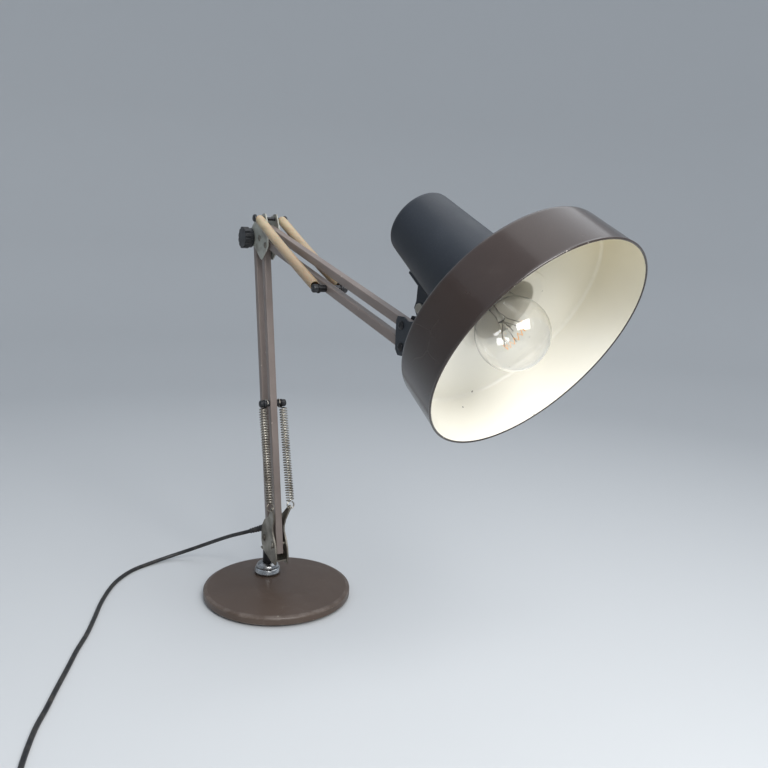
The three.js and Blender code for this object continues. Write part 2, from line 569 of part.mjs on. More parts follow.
// ---- Lampholder and lamp, sagging a little from the shade's axis -------------------------------
const LAMP_PIVOT = 92;
const lampFrame = new THREE.Group();
lampFrame.position.z = -LAMP_PIVOT;
lampFrame.rotation.set(THREE.MathUtils.degToRad(2.1), THREE.MathUtils.degToRad(3.2), 0);
shade.add(lampFrame);
const GLOBE_RADIUS = 29.8;
const GLOBE_AT = LAMP_PIVOT + 21;
const GLASS_WALL = 1.1;
const NECK_HEIGHT = 57;
const neck = [[12.6, -NECK_HEIGHT], [13.2, -51], [15.6, -40], [20.8, -28]];
function bulbOutline(wall) {
  const outline = neck.map(([radius, height]) => [radius - wall, GLOBE_AT + height]);
  const GLOBE_STEPS = 8;
  const globeStart = THREE.MathUtils.degToRad(-38);
  for (let i = 0; i <= GLOBE_STEPS; i += 1) {
    const angle = globeStart + (i / GLOBE_STEPS) * (Math.PI / 2 - globeStart);
    const radius = i === GLOBE_STEPS ? 0 : (GLOBE_RADIUS - wall) * Math.cos(angle);
    outline.push([radius, GLOBE_AT + (GLOBE_RADIUS - wall) * Math.sin(angle)]);
  }
  return outline;
}
const bulbProfile = [...bulbOutline(GLASS_WALL).reverse(), ...bulbOutline(0)];
add("bulb_glass", turned(bulbProfile, 24), glass, lampFrame);
const shellTop = GLOBE_AT - NECK_HEIGHT - GAP;
const shellProfile = [
  [0, shellTop - 23.5], [5, shellTop - 23.5], [9, shellTop - 20.5], [13, shellTop - 18.5], [13.2, shellTop],
  [0, shellTop],
];
add("bulb_base", turned(shellProfile, 24), brass, lampFrame);
const HOLDER_BORE = 13.2 + 0.5;
const holderProfile = [
  [0, 2], [14, 2], [19, 6], [19, shellTop - 22], [20.5, shellTop - 20], [20.5, shellTop - 6],
  [18.6, shellTop - 4.6],
  [HOLDER_BORE, shellTop - 4.6], [HOLDER_BORE, shellTop - 24.4], [0, shellTop - 24.4],
];
add("lampholder", turned(holderProfile, 20), bakelite, lampFrame);

// A cross strip inside the cap carries the holder.
const STRIP_AT = LAMP_PIVOT + 3.4;
const stripHalf = Math.sqrt((capRadius(STRIP_AT) - capWall - 1) ** 2 - 8 ** 2);
add("holder_strip", box(-8, 8, -stripHalf, stripHalf, -STRIP_AT - 1.4, -STRIP_AT), zinc, shade);

// Push switch in the middle of the cap's end.
const switchProfile = [
  [0, -CAP_LENGTH + 18], [9, -CAP_LENGTH + 18], [9, -CAP_LENGTH + capWall + GAP],
  [SWITCH_HOLE - GAP, -CAP_LENGTH + capWall + GAP], [SWITCH_HOLE - GAP, -CAP_LENGTH - 1.4],
  [4.6 + GAP, -CAP_LENGTH - 1.4], [4.6 + GAP, -CAP_LENGTH + 8], [0, -CAP_LENGTH + 8],
].reverse();
add("switch_body", turned(switchProfile, 24), blackPlastic, shade);
const buttonProfile = [
  [0, -CAP_LENGTH - 4.6], [3.4, -CAP_LENGTH - 4.4], [4.6, -CAP_LENGTH - 3.4], [4.6, -CAP_LENGTH + 3.6],
  [0, -CAP_LENGTH + 3.6],
];
add("switch_button", turned(buttonProfile, 20), nylon, shade);

// ---- Cord --------------------------------------------------------------------------------------
const GLAND_ELBOW = [TAB_X - 5, 0, CORD_EXIT_Z];
const GLAND_END = [-64.5, -13.6, 66.8];
const flange = rodBetween([TAB_X - GAP, 0, CORD_EXIT_Z], [TAB_X - 5.4, 0, CORD_EXIT_Z], 5);
const taper = rodBetween(GLAND_ELBOW, GLAND_END, 4.8, 3.1);
const elbowBall = new THREE.SphereGeometry(4.8, 16, 12).translate(...GLAND_ELBOW);
add("cord_gland", joined(flange, elbowBall, taper), blackPlastic);

const LAY = CORD_RADIUS + 0.1; // the height of the cord's middle where it lies down
const cordRoute = [
  [-64.8, -13.9, 66.6], [-74, -21, 61.8], [-92, -31, 53], [-113, -40, 42], [-134, -51, 30], [-152, -66, 18.5],
  [-162, -86, 10], [-163, -110, 5], [-157, -134, LAY], [-144, -157, LAY], [-121, -179, LAY], [-95, -195, LAY],
  [-60, -211, LAY], [-22, -225, LAY], [14, -239, LAY], [46, -254, LAY], [80, -268, LAY], [118, -284, LAY],
  [150, -297, LAY], [174, -307.5, LAY], [200, -316.5, LAY], [231, -325.5, LAY], [254, -329.4, LAY],
  [272, -330.1, LAY],
];
const coilOuter = COIL_MIDDLE_RADIUS + COIL_TURN_SPACING * 1.5;
const coilInner = COIL_MIDDLE_RADIUS - COIL_TURN_SPACING * 1.5;
const section = new THREE.Shape();
section.absarc(0, 0, CORD_RADIUS, 0, 2 * Math.PI);
function cordTube(route, steps) {
  const points = route.map((point) => new THREE.Vector3(...point));
  const extrudePath = new THREE.CatmullRomCurve3(points, false, "centripetal");
  return new THREE.ExtrudeGeometry(section, { steps, curveSegments: 3, extrudePath });
}
add("cord_lead", cordTube(cordRoute, 48), blackPlastic);
const coilHeight = 2 * COIL_TURN_SPACING;
const coil = ring(coilInner, coilOuter, 0, coilHeight, 28).translate(COIL_CENTRE[0], COIL_CENTRE[1], 0);
add("cord_coil", coil, blackPlastic);
const tieAngle = THREE.MathUtils.degToRad(-60);
const tieOuter = box(coilInner - 1.6, coilOuter + 1.6, -4, 4, 0.02, coilHeight + 1.6);
const tieInner = box(coilInner - 0.5, coilOuter + 0.5, -5, 5, -1, coilHeight + 0.5);
const tie = cut(tieOuter, tieInner).rotateZ(tieAngle).translate(COIL_CENTRE[0], COIL_CENTRE[1], 0);
add("cord_tie", tie, nylon);

// The last of the cord leaves the coil's upper outer turn and comes down to the plug.
const tailRoute = [
  [312.9, -371, LAY + COIL_TURN_SPACING], [313.3, -383, 6.5], [311, -396, 3.8], [305.5, -408, LAY],
  [297, -418, 3.6], [289, -423.2, 5.4], [280.6, -425.5, 6.8],
];
add("cord_tail", cordTube(tailRoute, 12), blackPlastic);

// Flat two-pin plug beside the coil.
const PLUG_CENTRE = [262, -427];
const PLUG_HEADING = THREE.MathUtils.degToRad(184);
const plugOutline = [
  [-18, -4], [-12, -6.6], [10, -12], [16, -13], [18, -11], [18, 11], [16, 13], [10, 12], [-12, 6.6], [-18, 4],
];
const PLUG_HEIGHT = 13.6;
const PLUG_PIN_Y = 9.3;
const plugBody = plate(plugOutline, -PLUG_HEIGHT, 0).rotateX(-Math.PI / 2);
const plug = new THREE.Group();
plug.position.set(PLUG_CENTRE[0], PLUG_CENTRE[1], 0.02);
plug.rotation.z = PLUG_HEADING;
lamp.add(plug);
add("plug_body", plugBody, blackPlastic, plug);
for (const [name, side] of SIDES) {
  const pinFoot = [18 + GAP, side * PLUG_PIN_Y, PLUG_HEIGHT / 2];
  const pinEnd = [36, side * PLUG_PIN_Y, PLUG_HEIGHT / 2];
  const pin = rodBetween(pinFoot, pinEnd, 2, 2, 12);
  add(`plug_pin_${name}`, pin, brass, plug);
}

export default lamp;
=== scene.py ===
# Architect desk lamp on a round weighted base, dressed for close views. Metres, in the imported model's frame.
import math

import bmesh
import bpy
from mathutils import Matrix, Vector


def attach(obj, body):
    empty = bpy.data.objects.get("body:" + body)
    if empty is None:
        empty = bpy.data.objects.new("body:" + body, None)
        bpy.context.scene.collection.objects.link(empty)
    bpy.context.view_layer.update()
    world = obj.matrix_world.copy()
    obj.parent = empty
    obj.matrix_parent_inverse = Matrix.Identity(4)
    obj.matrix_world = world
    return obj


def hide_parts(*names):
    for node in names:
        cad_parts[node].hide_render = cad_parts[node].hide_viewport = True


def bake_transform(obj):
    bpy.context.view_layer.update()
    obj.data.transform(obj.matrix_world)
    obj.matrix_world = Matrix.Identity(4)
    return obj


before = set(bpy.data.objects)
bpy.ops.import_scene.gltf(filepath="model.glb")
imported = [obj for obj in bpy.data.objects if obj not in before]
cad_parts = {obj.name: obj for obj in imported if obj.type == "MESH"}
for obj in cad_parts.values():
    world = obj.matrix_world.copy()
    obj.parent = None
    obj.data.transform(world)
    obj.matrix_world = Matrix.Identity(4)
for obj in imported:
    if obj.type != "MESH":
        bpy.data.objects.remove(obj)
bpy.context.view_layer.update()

MM = 0.001

# ---- Camera -------------------------------------------------------------------------------------
# It stands to the front right of the lamp, a little above the middle of its height, and is held a
# little off level.
CAMERA_AZIMUTH = math.radians(60)
CAMERA_ELEVATION = math.radians(9.59)
CAMERA_ROLL = math.radians(2.36)
CAMERA_DISTANCE = 0.7378
CAMERA_TARGET = Vector((0.25928, 0, 0.32407))

camera_data = bpy.data.cameras.new("camera")
camera_data.sensor_width = 36
camera_data.lens = 36
camera = bpy.data.objects.new("camera", camera_data)
bpy.context.scene.collection.objects.link(camera)
back = Vector((
    math.sin(CAMERA_AZIMUTH) * math.cos(CAMERA_ELEVATION),
    -math.cos(CAMERA_AZIMUTH) * math.cos(CAMERA_ELEVATION),
    math.sin(CAMERA_ELEVATION),
))
right = Vector((0, 0, 1)).cross(back).normalized()
facing = Matrix((right, back.cross(right), back)).transposed().to_4x4()
place = Matrix.Translation(CAMERA_TARGET + back * CAMERA_DISTANCE)
camera.matrix_world = place @ facing @ Matrix.Rotation(CAMERA_ROLL, 4, "Z")
bpy.context.scene.camera = camera
bpy.context.scene.view_settings.view_transform = "Standard"

# ---- Mains cord ---------------------------------------------------------------------------------
# Black round twin-core flex in soft PVC, 1.75 m long. It comes out of the bracket's strain relief,
# falls to the table behind the base and runs forwards. The rest lies in a tied coil by its plug.
CORD_RADIUS = 2.6
LAY = 2.7
LEAD = [
    (-64.8, -13.9, 66.6), (-74, -21, 61.8), (-92, -31, 53), (-113, -40, 42), (-134, -51, 30),
    (-152, -66, 18.5), (-162, -86, 10), (-163, -110, 5), (-157, -134, LAY), (-144, -157, LAY),
    (-121, -179, LAY), (-95, -195, LAY), (-60, -211, LAY), (-22, -225, LAY), (14, -239, LAY),
    (46, -254, LAY), (80, -268, LAY), (118, -284, LAY), (150, -297, LAY), (174, -307.5, LAY),
    (200, -316.5, LAY), (231, -325.5, LAY), (254, -329.4, LAY), (272, -330.1, LAY),
]
COIL_CENTRE = (272, -371)
COIL_SPACING = 5.3
COIL_OUTER = 35.3  # the radius of the outermost of three turns side by side
COIL_INNER = 24.7
COIL_ENTRY = 40.9
TAIL = [
    (312.9, -371, LAY + COIL_SPACING), (313.3, -383, 6.5), (311, -396, 3.8), (305.5, -408, LAY),
    (297, -418, 3.6), (289, -423.2, 5.4), (280.6, -425.5, 6.8),
]


def coil_points():
    """Turns in side by side, a step up, and turns out to where the tail begins."""
    turns_in = 2.5
    turns_out = 2.75
    settle = 0.35
    step_up = 0.3
    across_turns = (COIL_OUTER - COIL_INNER) / COIL_SPACING
    steps = 24
    points = []
    for i in range(1, round((turns_in + turns_out) * steps)):
        turn = i / steps
        if turn < turns_in:
            share = min(1, max(0, (turn - settle) / across_turns))
            radius = COIL_OUTER + (COIL_INNER - COIL_OUTER) * share
            loose = max(0, 1 - turn / settle)
            height = LAY
        else:
            done = turn - turns_in
            share = min(1, max(0, (done - step_up) / across_turns))
            radius = COIL_INNER + (COIL_OUTER - COIL_INNER) * share
            loose = max(0, 1 - (turns_out - done) / settle)
            height = LAY + COIL_SPACING * min(1, done / step_up)
        radius += (COIL_ENTRY - radius) * loose ** 2
        angle = math.pi / 2 - 2 * math.pi * turn
        across = COIL_CENTRE[0] + radius * math.cos(angle)
        points.append((across, COIL_CENTRE[1] + radius * math.sin(angle), height))
    return points


def curve_through(points, step):
    """A smooth curve through the points, in mm, as points about one step apart."""
    knots = [Vector(point) for point in points]
    ends = [knots[0] * 2 - knots[1], *knots, knots[-1] * 2 - knots[-2]]
    made = []
    for a, b, c, d in zip(ends, ends[1:], ends[2:], ends[3:]):
        count = max(1, round((c - b).length / step))
        for i in range(count):
            t = i / count
            square = (a * 2 - b * 5 + c * 4 - d) * t ** 2
            cube = (b * 3 - a - c * 3 + d) * t ** 3
            made.append((b * 2 + (c - a) * t + square + cube) / 2)
    return [*made, knots[-1]]


def add_mesh(name, shape, crease=35):
    """The bmesh as an object at the origin, smooth except where it creases."""
    bmesh.ops.remove_doubles(shape, verts=shape.verts, dist=2e-7)
    bmesh.ops.recalc_face_normals(shape, faces=shape.faces)
    for face in shape.faces:
        face.smooth = True
    for edge in shape.edges:
        edge.smooth = edge.is_manifold and edge.calc_face_angle(0) < math.radians(crease)
    mesh = bpy.data.meshes.new(name)
    shape.to_mesh(mesh)
    shape.free()
    made = bpy.data.objects.new(name, mesh)
    bpy.context.scene.collection.objects.link(made)
    return made


def swept(name, path, radii, sides=14):
    """A round piece along a path in mm, with a radius in mm at each of its points."""
    shape = bmesh.new()
    rows = []
    across = Vector((0, 0, 1))
    for i, (point, radius) in enumerate(zip(path, radii)):
        along = (path[min(i + 1, len(path) - 1)] - path[max(i - 1, 0)]).normalized()
        across = (across - along * across.dot(along)).normalized()
        up = along.cross(across)
        ring = []
        for k in range(sides):
            angle = 2 * math.pi * k / sides
            ring.append(point + (across * math.cos(angle) + up * math.sin(angle)) * radius)
        rows.append([shape.verts.new(corner * MM) for corner in ring])
    for row, following in zip(rows, rows[1:]):
        for k in range(sides):
            j = (k + 1) % sides
            shape.faces.new((row[k], row[j], following[j], following[k]))
    shape.faces.new(rows[0])
    shape.faces.new(rows[-1])
    return add_mesh(name, shape)


def linear(code):
    """A colour written as sRGB hex, as the linear RGBA that shaders take."""
    channels = [int(code[i:i + 2], 16) / 255 for i in (1, 3, 5)]
    return (*[c / 12.92 if c <= 0.04045 else ((c + 0.055) / 1.055) ** 2.4 for c in channels], 1)


def add(tree, kind, inputs, output=0, **settings):
    """Adds a node with its settings, sets or links its inputs, and gives one of its outputs."""
    node = tree.nodes.new(kind)
    for key, value in settings.items():
        setattr(node, key, value)
    for key, value in inputs.items():
        if isinstance(value, bpy.types.NodeSocket):
            tree.links.new(value, node.inputs[key])
        else:
            node.inputs[key].default_value = value
    return node.outputs[output]


def new_material(name, plain, linked):
    """A material whose shader has those plain values and the sockets that linked(tree, place) gives."""
    material = bpy.data.materials.new(name)
    material.use_nodes = True
    tree = material.node_tree
    shader = tree.nodes["Principled BSDF"]
    for key, value in plain.items():
        shader.inputs[key].default_value = value
    place = add(tree, "ShaderNodeTexCoord", {}, "Object")
    for key, socket in linked(tree, place).items():
        tree.links.new(socket, shader.inputs[key])
    return material


def soft_pvc(tree, place):
    """Plasticised PVC: a soft sheen, dust that settles in patches and fine scuffs."""
    patches = add(tree, "ShaderNodeTexNoise", {"Vector": place, "Scale": 140, "Detail": 5})
    dust = add(tree, "ShaderNodeMapRange", {0: patches, 1: 0.42, 2: 0.75, 3: 0.0, 4: 0.4})
    colours = {0: dust, 6: linear("#18191b"), 7: linear("#5a554e")}
    grain = add(tree, "ShaderNodeTexNoise", {"Vector": place, "Scale": 1600, "Detail": 2})
    return {
        "Base Color": add(tree, "ShaderNodeMix", colours, 2, data_type="RGBA"),
        "Roughness": add(tree, "ShaderNodeMapRange", {0: patches, 1: 0.3, 2: 0.7, 3: 0.36, 4: 0.6}),
        "Normal": add(tree, "ShaderNodeBump", {"Strength": 0.12, "Distance": 0.0001, "Height": grain}),
    }


cord_path = curve_through(LEAD + coil_points() + TAIL, 3.2)
cord = swept("mains_cord", cord_path, [CORD_RADIUS] * len(cord_path))
PVC = new_material("soft_pvc_black", {}, soft_pvc)
cord.data.materials.append(PVC)
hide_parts("cord_lead", "cord_coil", "cord_tail")
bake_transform(cord)

# ---- Strain relief, tie and plug ----------------------------------------------------------------
# The strain relief is a soft ribbed elbow that snaps into the tab's hole. A nylon tie holds the
# coil, and the flat two-pin plug is moulded on, with nickelled brass pins.
RELIEF_ROUTE = [(-42.4, 0, 76), (-45, 0, 76), (-49, -1.4, 75.3), (-56, -7, 71.3), (-64.5, -13.6, 66.8)]
RELIEF_RIBS = 7
relief_path = curve_through(RELIEF_ROUTE, 0.5)
relief_radii = []
for i in range(len(relief_path)):
    along = i / (len(relief_path) - 1)
    ribbed = 0.35 * math.cos(2 * math.pi * RELIEF_RIBS * along) if along > 0.25 else 0
    relief_radii.append(5 if along < 0.1 else 4.6 - 1.5 * along + ribbed)
relief = swept("strain_relief", relief_path, relief_radii, 24)
relief.data.materials.append(PVC)
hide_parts("cord_gland")
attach(relief, "bracket")


def softened(name, node, width, segments=2):
    """A CAD node's shape with its flat faces whole again and its edges rounded by width mm."""
    shape = bmesh.new()
    shape.from_mesh(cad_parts[node].data)
    bmesh.ops.remove_doubles(shape, verts=shape.verts, dist=2e-6)
    flat = math.radians(1)
    bmesh.ops.dissolve_limit(shape, angle_limit=flat, verts=shape.verts, edges=shape.edges)
    sharp = [edge for edge in shape.edges if edge.is_manifold and edge.calc_face_angle(0) > 0.6]
    bmesh.ops.bevel(
        shape, geom=sharp, offset=width * MM, segments=segments, affect="EDGES", clamp_overlap=True)
    made = add_mesh(name, shape)
    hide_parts(node)
    return made


def moulded_nylon(tree, place):
    """Moulded nylon, slightly greyed, with a waxy surface."""
    patches = add(tree, "ShaderNodeTexNoise", {"Vector": place, "Scale": 260, "Detail": 4})
    colours = {0: patches, 6: linear("#bdb9ab"), 7: linear("#e2dfd3")}
    return {
        "Base Color": add(tree, "ShaderNodeMix", colours, 2, data_type="RGBA"),
        "Roughness": add(tree, "ShaderNodeMapRange", {0: patches, 3: 0.38, 4: 0.58}),
        "Normal": add(tree, "ShaderNodeBump", {"Strength": 0.1, "Distance": 0.0001, "Height": patches}),
    }


def black_plastic(tree, place):
    """Moulded black plastic: fine spark-eroded grain, handled smoother in places, dust in patches."""
    grain = add(tree, "ShaderNodeTexNoise", {"Vector": place, "Scale": 1400, "Detail": 3})
    patches = add(tree, "ShaderNodeTexNoise", {"Vector": place, "Scale": 90, "Detail": 5})
    dust = add(tree, "ShaderNodeMapRange", {0: patches, 1: 0.5, 2: 0.8, 3: 0.0, 4: 0.35})
    colours = {0: dust, 6: linear("#131519"), 7: linear("#4a4642")}
    return {
        "Base Color": add(tree, "ShaderNodeMix", colours, 2, data_type="RGBA"),
        "Roughness": add(tree, "ShaderNodeMapRange", {0: patches, 1: 0.3, 2: 0.7, 3: 0.34, 4: 0.55}),
        "Normal": add(tree, "ShaderNodeBump", {"Strength": 0.2, "Distance": 0.0001, "Height": grain}),
    }


NYLON = new_material("moulded_nylon", {"Subsurface Weight": 0.1, "Subsurface Scale": 0.002}, moulded_nylon)
BLACK_PLASTIC = new_material("moulded_black_plastic", {}, black_plastic)
cord_tie = softened("coil_tie", "cord_tie", 0.4)
cord_tie.data.materials.append(NYLON)
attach(cord_tie, "base")
plug = softened("two_pin_plug", "plug_body", 1.4, 3)
plug.data.materials.append(BLACK_PLASTIC)
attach(plug, "base")


# The same corners also carry a painted edge highlight in the brown enamels.
WORN_BELOW = 8  # only corners tighter than this, in mm, get rubbed


def rounded(corners, fade=1.2):
    """(x, y, radius) corners as (x, y, wear) points: arcs in place of corners, wear 1 on the arcs.

    Long straight stretches get a point with wear 0 at fade mm from each end, so wear stays local.
    """
    bent = []
    for i, corner in enumerate(corners):
        here = Vector(corner[:2])
        radius = corner[2] if len(corner) > 2 else 0
        if radius == 0 or i in (0, len(corners) - 1):
            bent.append([(here, 0)])
            continue
        before = (Vector(corners[i - 1][:2]) - here).normalized()
        after = (Vector(corners[i + 1][:2]) - here).normalized()
        half = before.angle(after) / 2
        centre = here + (before + after).normalized() * (radius / math.sin(half))
        first = here + before * (radius / math.tan(half)) - centre
        turn = 2 * half - math.pi
        if before.x * after.y - before.y * after.x < 0:
            turn = -turn
        steps = max(3, math.ceil(abs(turn) / math.radians(18)))
        arc = [centre + Matrix.Rotation(turn * k / steps, 2) @ first for k in range(steps + 1)]
        bent.append([(point, 1 if radius < WORN_BELOW else 0) for point in arc])
    made = [(point.x, point.y, wear) for point, wear in bent[0]]
    for group in bent[1:]:
        last = Vector(made[-1][:2])
        run = group[0][0] - last
        if run.length > 3 * fade:
            step = run.normalized() * fade
            for point in (last + step, group[0][0] - step):
                made.append((point.x, point.y, 0))
        made += [(point.x, point.y, wear) for point, wear in group]
    return made


def turned(name, corners, place, sides=96):
    """A turned body from (radius, height, corner radius) in mm round the Z of place, in metres."""
    shape = bmesh.new()
    worn = shape.verts.layers.float.new("wear")
    rows = []
    for radius, height, wear in rounded(corners):
        count = 1 if radius < 1e-6 else sides
        row = []
        for k in range(count):
            angle = 2 * math.pi * k / sides
            point = Vector((radius * math.cos(angle), radius * math.sin(angle), height)) * MM
            row.append(shape.verts.new(place @ point))
            row[-1][worn] = wear
        rows.append(row)
    for row, following in zip(rows, rows[1:]):
        for k in range(sides if len(row) + len(following) > 2 else 0):
            j = (k + 1) % sides
            ring = [row[k % len(row)], row[j % len(row)]]
            ring += [following[j % len(following)], following[k % len(following)]]
            shape.faces.new(dict.fromkeys(ring))
    return add_mesh(name, shape)


def worn_metal(light, dark, roughness, scale=40):
    """Bare or plated metal: tarnish in clouds, hairlines and pinpricks that catch the light."""
    def linked(tree, place):
        clouds = add(tree, "ShaderNodeTexNoise", {"Vector": place, "Scale": scale, "Detail": 6})
        pricks = add(tree, "ShaderNodeTexNoise", {"Vector": place, "Scale": 900, "Detail": 4})
        share = add(tree, "ShaderNodeMapRange", {0: clouds, 1: 0.35, 2: 0.68})
        colours = {0: share, 6: linear(light), 7: linear(dark)}
        stretched = add(tree, "ShaderNodeMapping", {"Vector": place, "Scale": (300, 2600, 900)})
        hair = add(tree, "ShaderNodeTexNoise", {"Vector": stretched, "Scale": 1, "Detail": 3})
        uneven = add(tree, "ShaderNodeMath", {0: clouds, 1: pricks}, operation="MULTIPLY")
        return {
            "Base Color": add(tree, "ShaderNodeMix", colours, 2, data_type="RGBA"),
            "Roughness": add(
                tree, "ShaderNodeMapRange",
                {0: uneven, 1: 0.15, 2: 0.4, 3: roughness[0], 4: roughness[1]}),
            "Normal": add(tree, "ShaderNodeBump", {"Strength": 0.12, "Distance": 0.0001, "Height": hair}),
        }
    return linked


BRASS = new_material("nickelled_brass", {"Metallic": 1}, worn_metal("#d8d2c0", "#a08c62", (0.18, 0.4)))
plug_heading = Matrix.Translation((0.262, -0.427, 0.00682)) @ Matrix.Rotation(math.radians(184), 4, "Z")
PIN_Y = 9.3
for side, node in ((-1, "plug_pin_left"), (1, "plug_pin_right")):
    pin_place = plug_heading @ Matrix.Translation((0, side * PIN_Y * MM, 0))
    pin_place = pin_place @ Matrix.Rotation(math.pi / 2, 4, "Y")
    pin = turned(f"{node}_turned", [(0, 18.2), (2, 18.2, 0.2), (2, 36, 0.9), (0, 36)], pin_place, 32)
    pin.data.materials.append(BRASS)
    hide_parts(node)
    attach(pin, "base")

# ---- Floor and lights ---------------------------------------------------------------------------
# A pale matt floor that curves up all round, a soft sky, one large soft light high on the right
# behind the camera and a larger, weaker one overhead.
FLOOR_RADIUS = 2.2
FLOOR_SIDES = 64
shape = bmesh.new()
rows = []
for radius, height in (
    (0.01, 0), (FLOOR_RADIUS * 0.7, 0), (FLOOR_RADIUS, 0.08), (FLOOR_RADIUS * 1.25, 0.45),
    (FLOOR_RADIUS * 1.4, 1.1), (FLOOR_RADIUS * 1.45, 2.6),
):
    row = []
    for k in range(FLOOR_SIDES):
        angle = 2 * math.pi * k / FLOOR_SIDES
        row.append(shape.verts.new((radius * math.cos(angle), radius * math.sin(angle), height)))
    rows.append(row)
for row, following in zip(rows, rows[1:]):
    for k in range(FLOOR_SIDES):
        j = (k + 1) % FLOOR_SIDES
        shape.faces.new((row[k], row[j], following[j], following[k]))
shape.faces.new(rows[0])
bmesh.ops.recalc_face_normals(shape, faces=shape.faces)
if shape.faces[0].normal.z < 0:
    bmesh.ops.reverse_faces(shape, faces=shape.faces)
floor_mesh = bpy.data.meshes.new("studio_floor")
for face in shape.faces:
    face.smooth = True
shape.to_mesh(floor_mesh)
shape.free()
floor = bpy.data.objects.new("studio_floor", floor_mesh)
bpy.context.scene.collection.objects.link(floor)
floor_paint = bpy.data.materials.new("studio_floor_paint")
floor_paint.use_nodes = True
floor_paint.node_tree.nodes["Principled BSDF"].inputs["Base Color"].default_value = linear("#c6c8c9")
floor_paint.node_tree.nodes["Principled BSDF"].inputs["Roughness"].default_value = 0.8
floor.data.materials.append(floor_paint)

sky = bpy.data.worlds.new("soft_sky")
sky.use_nodes = True
sky.node_tree.nodes["Background"].inputs["Color"].default_value = linear("#cfd8e4")
sky.node_tree.nodes["Background"].inputs["Strength"].default_value = 0.82
bpy.context.scene.world = sky
for name, power, size, at, towards in (
    ("soft_key", 28, 0.9, (1.35, -0.1, 1.15), (0.35, 0, 0.35)),
    ("soft_overhead", 6, 1.6, (0.1, 0.5, 1.6), (0.1, 0, 0.2)),
):
    light_data = bpy.data.lights.new(name, "AREA")
    light_data.energy = power
    light_data.size = size
    light = bpy.data.objects.new(name, light_data)
    light.location = at
    light.rotation_euler = (Vector(at) - Vector(towards)).to_track_quat("Z", "Y").to_euler()
    bpy.context.scene.collection.objects.link(light)

# ---- Base ---------------------------------------------------------------------------------------
# A round iron weight in brown stove enamel, barely domed, on a felt pad. The enamel has an orange
# peel skin, a film of dust, hairline scratches, and chips down to the iron along its rim.
SOCKET_X = -35.3
AT_SOCKET = Matrix.Translation((SOCKET_X * MM, 0, 0))


def stove_enamel(light, dark, roughness, dustiness, edge_rub_and_sheen_by, chipped=1.0):
    """Baked enamel over iron: tight edges rub paler, partly as wear and partly as a painted edge highlight,
    and a few spots chip down to the grey iron.
    """
    def linked(tree, place):
        clouds = add(tree, "ShaderNodeTexNoise", {"Vector": place, "Scale": 18, "Detail": 5})
        peel = add(tree, "ShaderNodeTexNoise", {"Vector": place, "Scale": 420, "Detail": 2})
        paint = add(
            tree, "ShaderNodeMix", {0: clouds, 6: linear(dark), 7: linear(light)}, 2, data_type="RGBA")
        film = add(
            tree, "ShaderNodeTexNoise", {"Vector": place, "Scale": 70, "Detail": 8, "Roughness": 0.7})
        dust = add(tree, "ShaderNodeMapRange", {0: film, 1: 0.48, 2: 0.8, 3: 0.0, 4: dustiness})
        dusty = add(tree, "ShaderNodeMix", {0: dust, 6: paint, 7: linear("#857b72")}, 2, data_type="RGBA")
        bent = add(tree, "ShaderNodeTexNoise", {"Vector": place, "Scale": 30, "Detail": 2}, 1)
        warped = add(tree, "ShaderNodeMix", {0: 0.02, 4: place, 5: bent}, 1, data_type="VECTOR")
        cells = add(
            tree, "ShaderNodeTexVoronoi", {"Vector": warped, "Scale": 38}, 0, feature="DISTANCE_TO_EDGE")
        line = add(tree, "ShaderNodeMapRange", {0: cells, 1: 0.0, 2: 0.005, 3: 1.0, 4: 0.0})
        rare = add(tree, "ShaderNodeMapRange", {0: clouds, 1: 0.58, 2: 0.66, 3: 0.0, 4: 0.35})
        scratch = add(tree, "ShaderNodeMath", {0: line, 1: rare}, operation="MULTIPLY")
        scratched = add(
            tree, "ShaderNodeMix", {0: scratch, 6: dusty, 7: linear("#8f867d")}, 2, data_type="RGBA")
        worn = add(tree, "ShaderNodeAttribute", {}, "Fac", attribute_name="wear")
        # The paler rub on tight edges is partly wear and partly a painted edge highlight.
        edge_rub_and_sheen = add(tree, "ShaderNodeMath", {0: worn, 1: film}, operation="MULTIPLY")
        edge_rub_and_sheen_share = add(tree, "ShaderNodeMapRange", {0: edge_rub_and_sheen, 1: 0.4, 2: 0.8, 3: 0.0, 4: edge_rub_and_sheen_by})
        edge_rubbed_and_lit = add(
            tree, "ShaderNodeMix", {0: edge_rub_and_sheen_share, 6: scratched, 7: linear("#8c827a")}, 2, data_type="RGBA")
        bites = add(tree, "ShaderNodeTexNoise", {"Vector": place, "Scale": 170, "Detail": 5})
        reach = add(tree, "ShaderNodeMath", {0: worn, 1: 0.1 * chipped}, operation="MULTIPLY")
        depth = add(tree, "ShaderNodeMath", {0: bites, 1: reach}, operation="ADD")
        chip = add(tree, "ShaderNodeMapRange", {0: depth, 1: 0.79, 2: 0.81})
        sheen = add(
            tree, "ShaderNodeMapRange", {0: film, 1: 0.3, 2: 0.7, 3: roughness[0], 4: roughness[1]})
        matt = add(tree, "ShaderNodeMath", {0: chip, 1: 0.25}, operation="MULTIPLY")
        skin = add(tree, "ShaderNodeMath", {0: peel, 1: chip}, operation="SUBTRACT")
        return {
            "Base Color": add(
                tree, "ShaderNodeMix", {0: chip, 6: edge_rubbed_and_lit, 7: linear("#a8a096")}, 2, data_type="RGBA"),
            "Roughness": add(tree, "ShaderNodeMath", {0: sheen, 1: matt}, operation="ADD"),
            "Metallic": add(tree, "ShaderNodeMath", {0: chip, 1: 0.7}, operation="MULTIPLY"),
            "Normal": add(tree, "ShaderNodeBump", {"Strength": 0.08, "Distance": 0.0002, "Height": skin}),
        }
    return linked
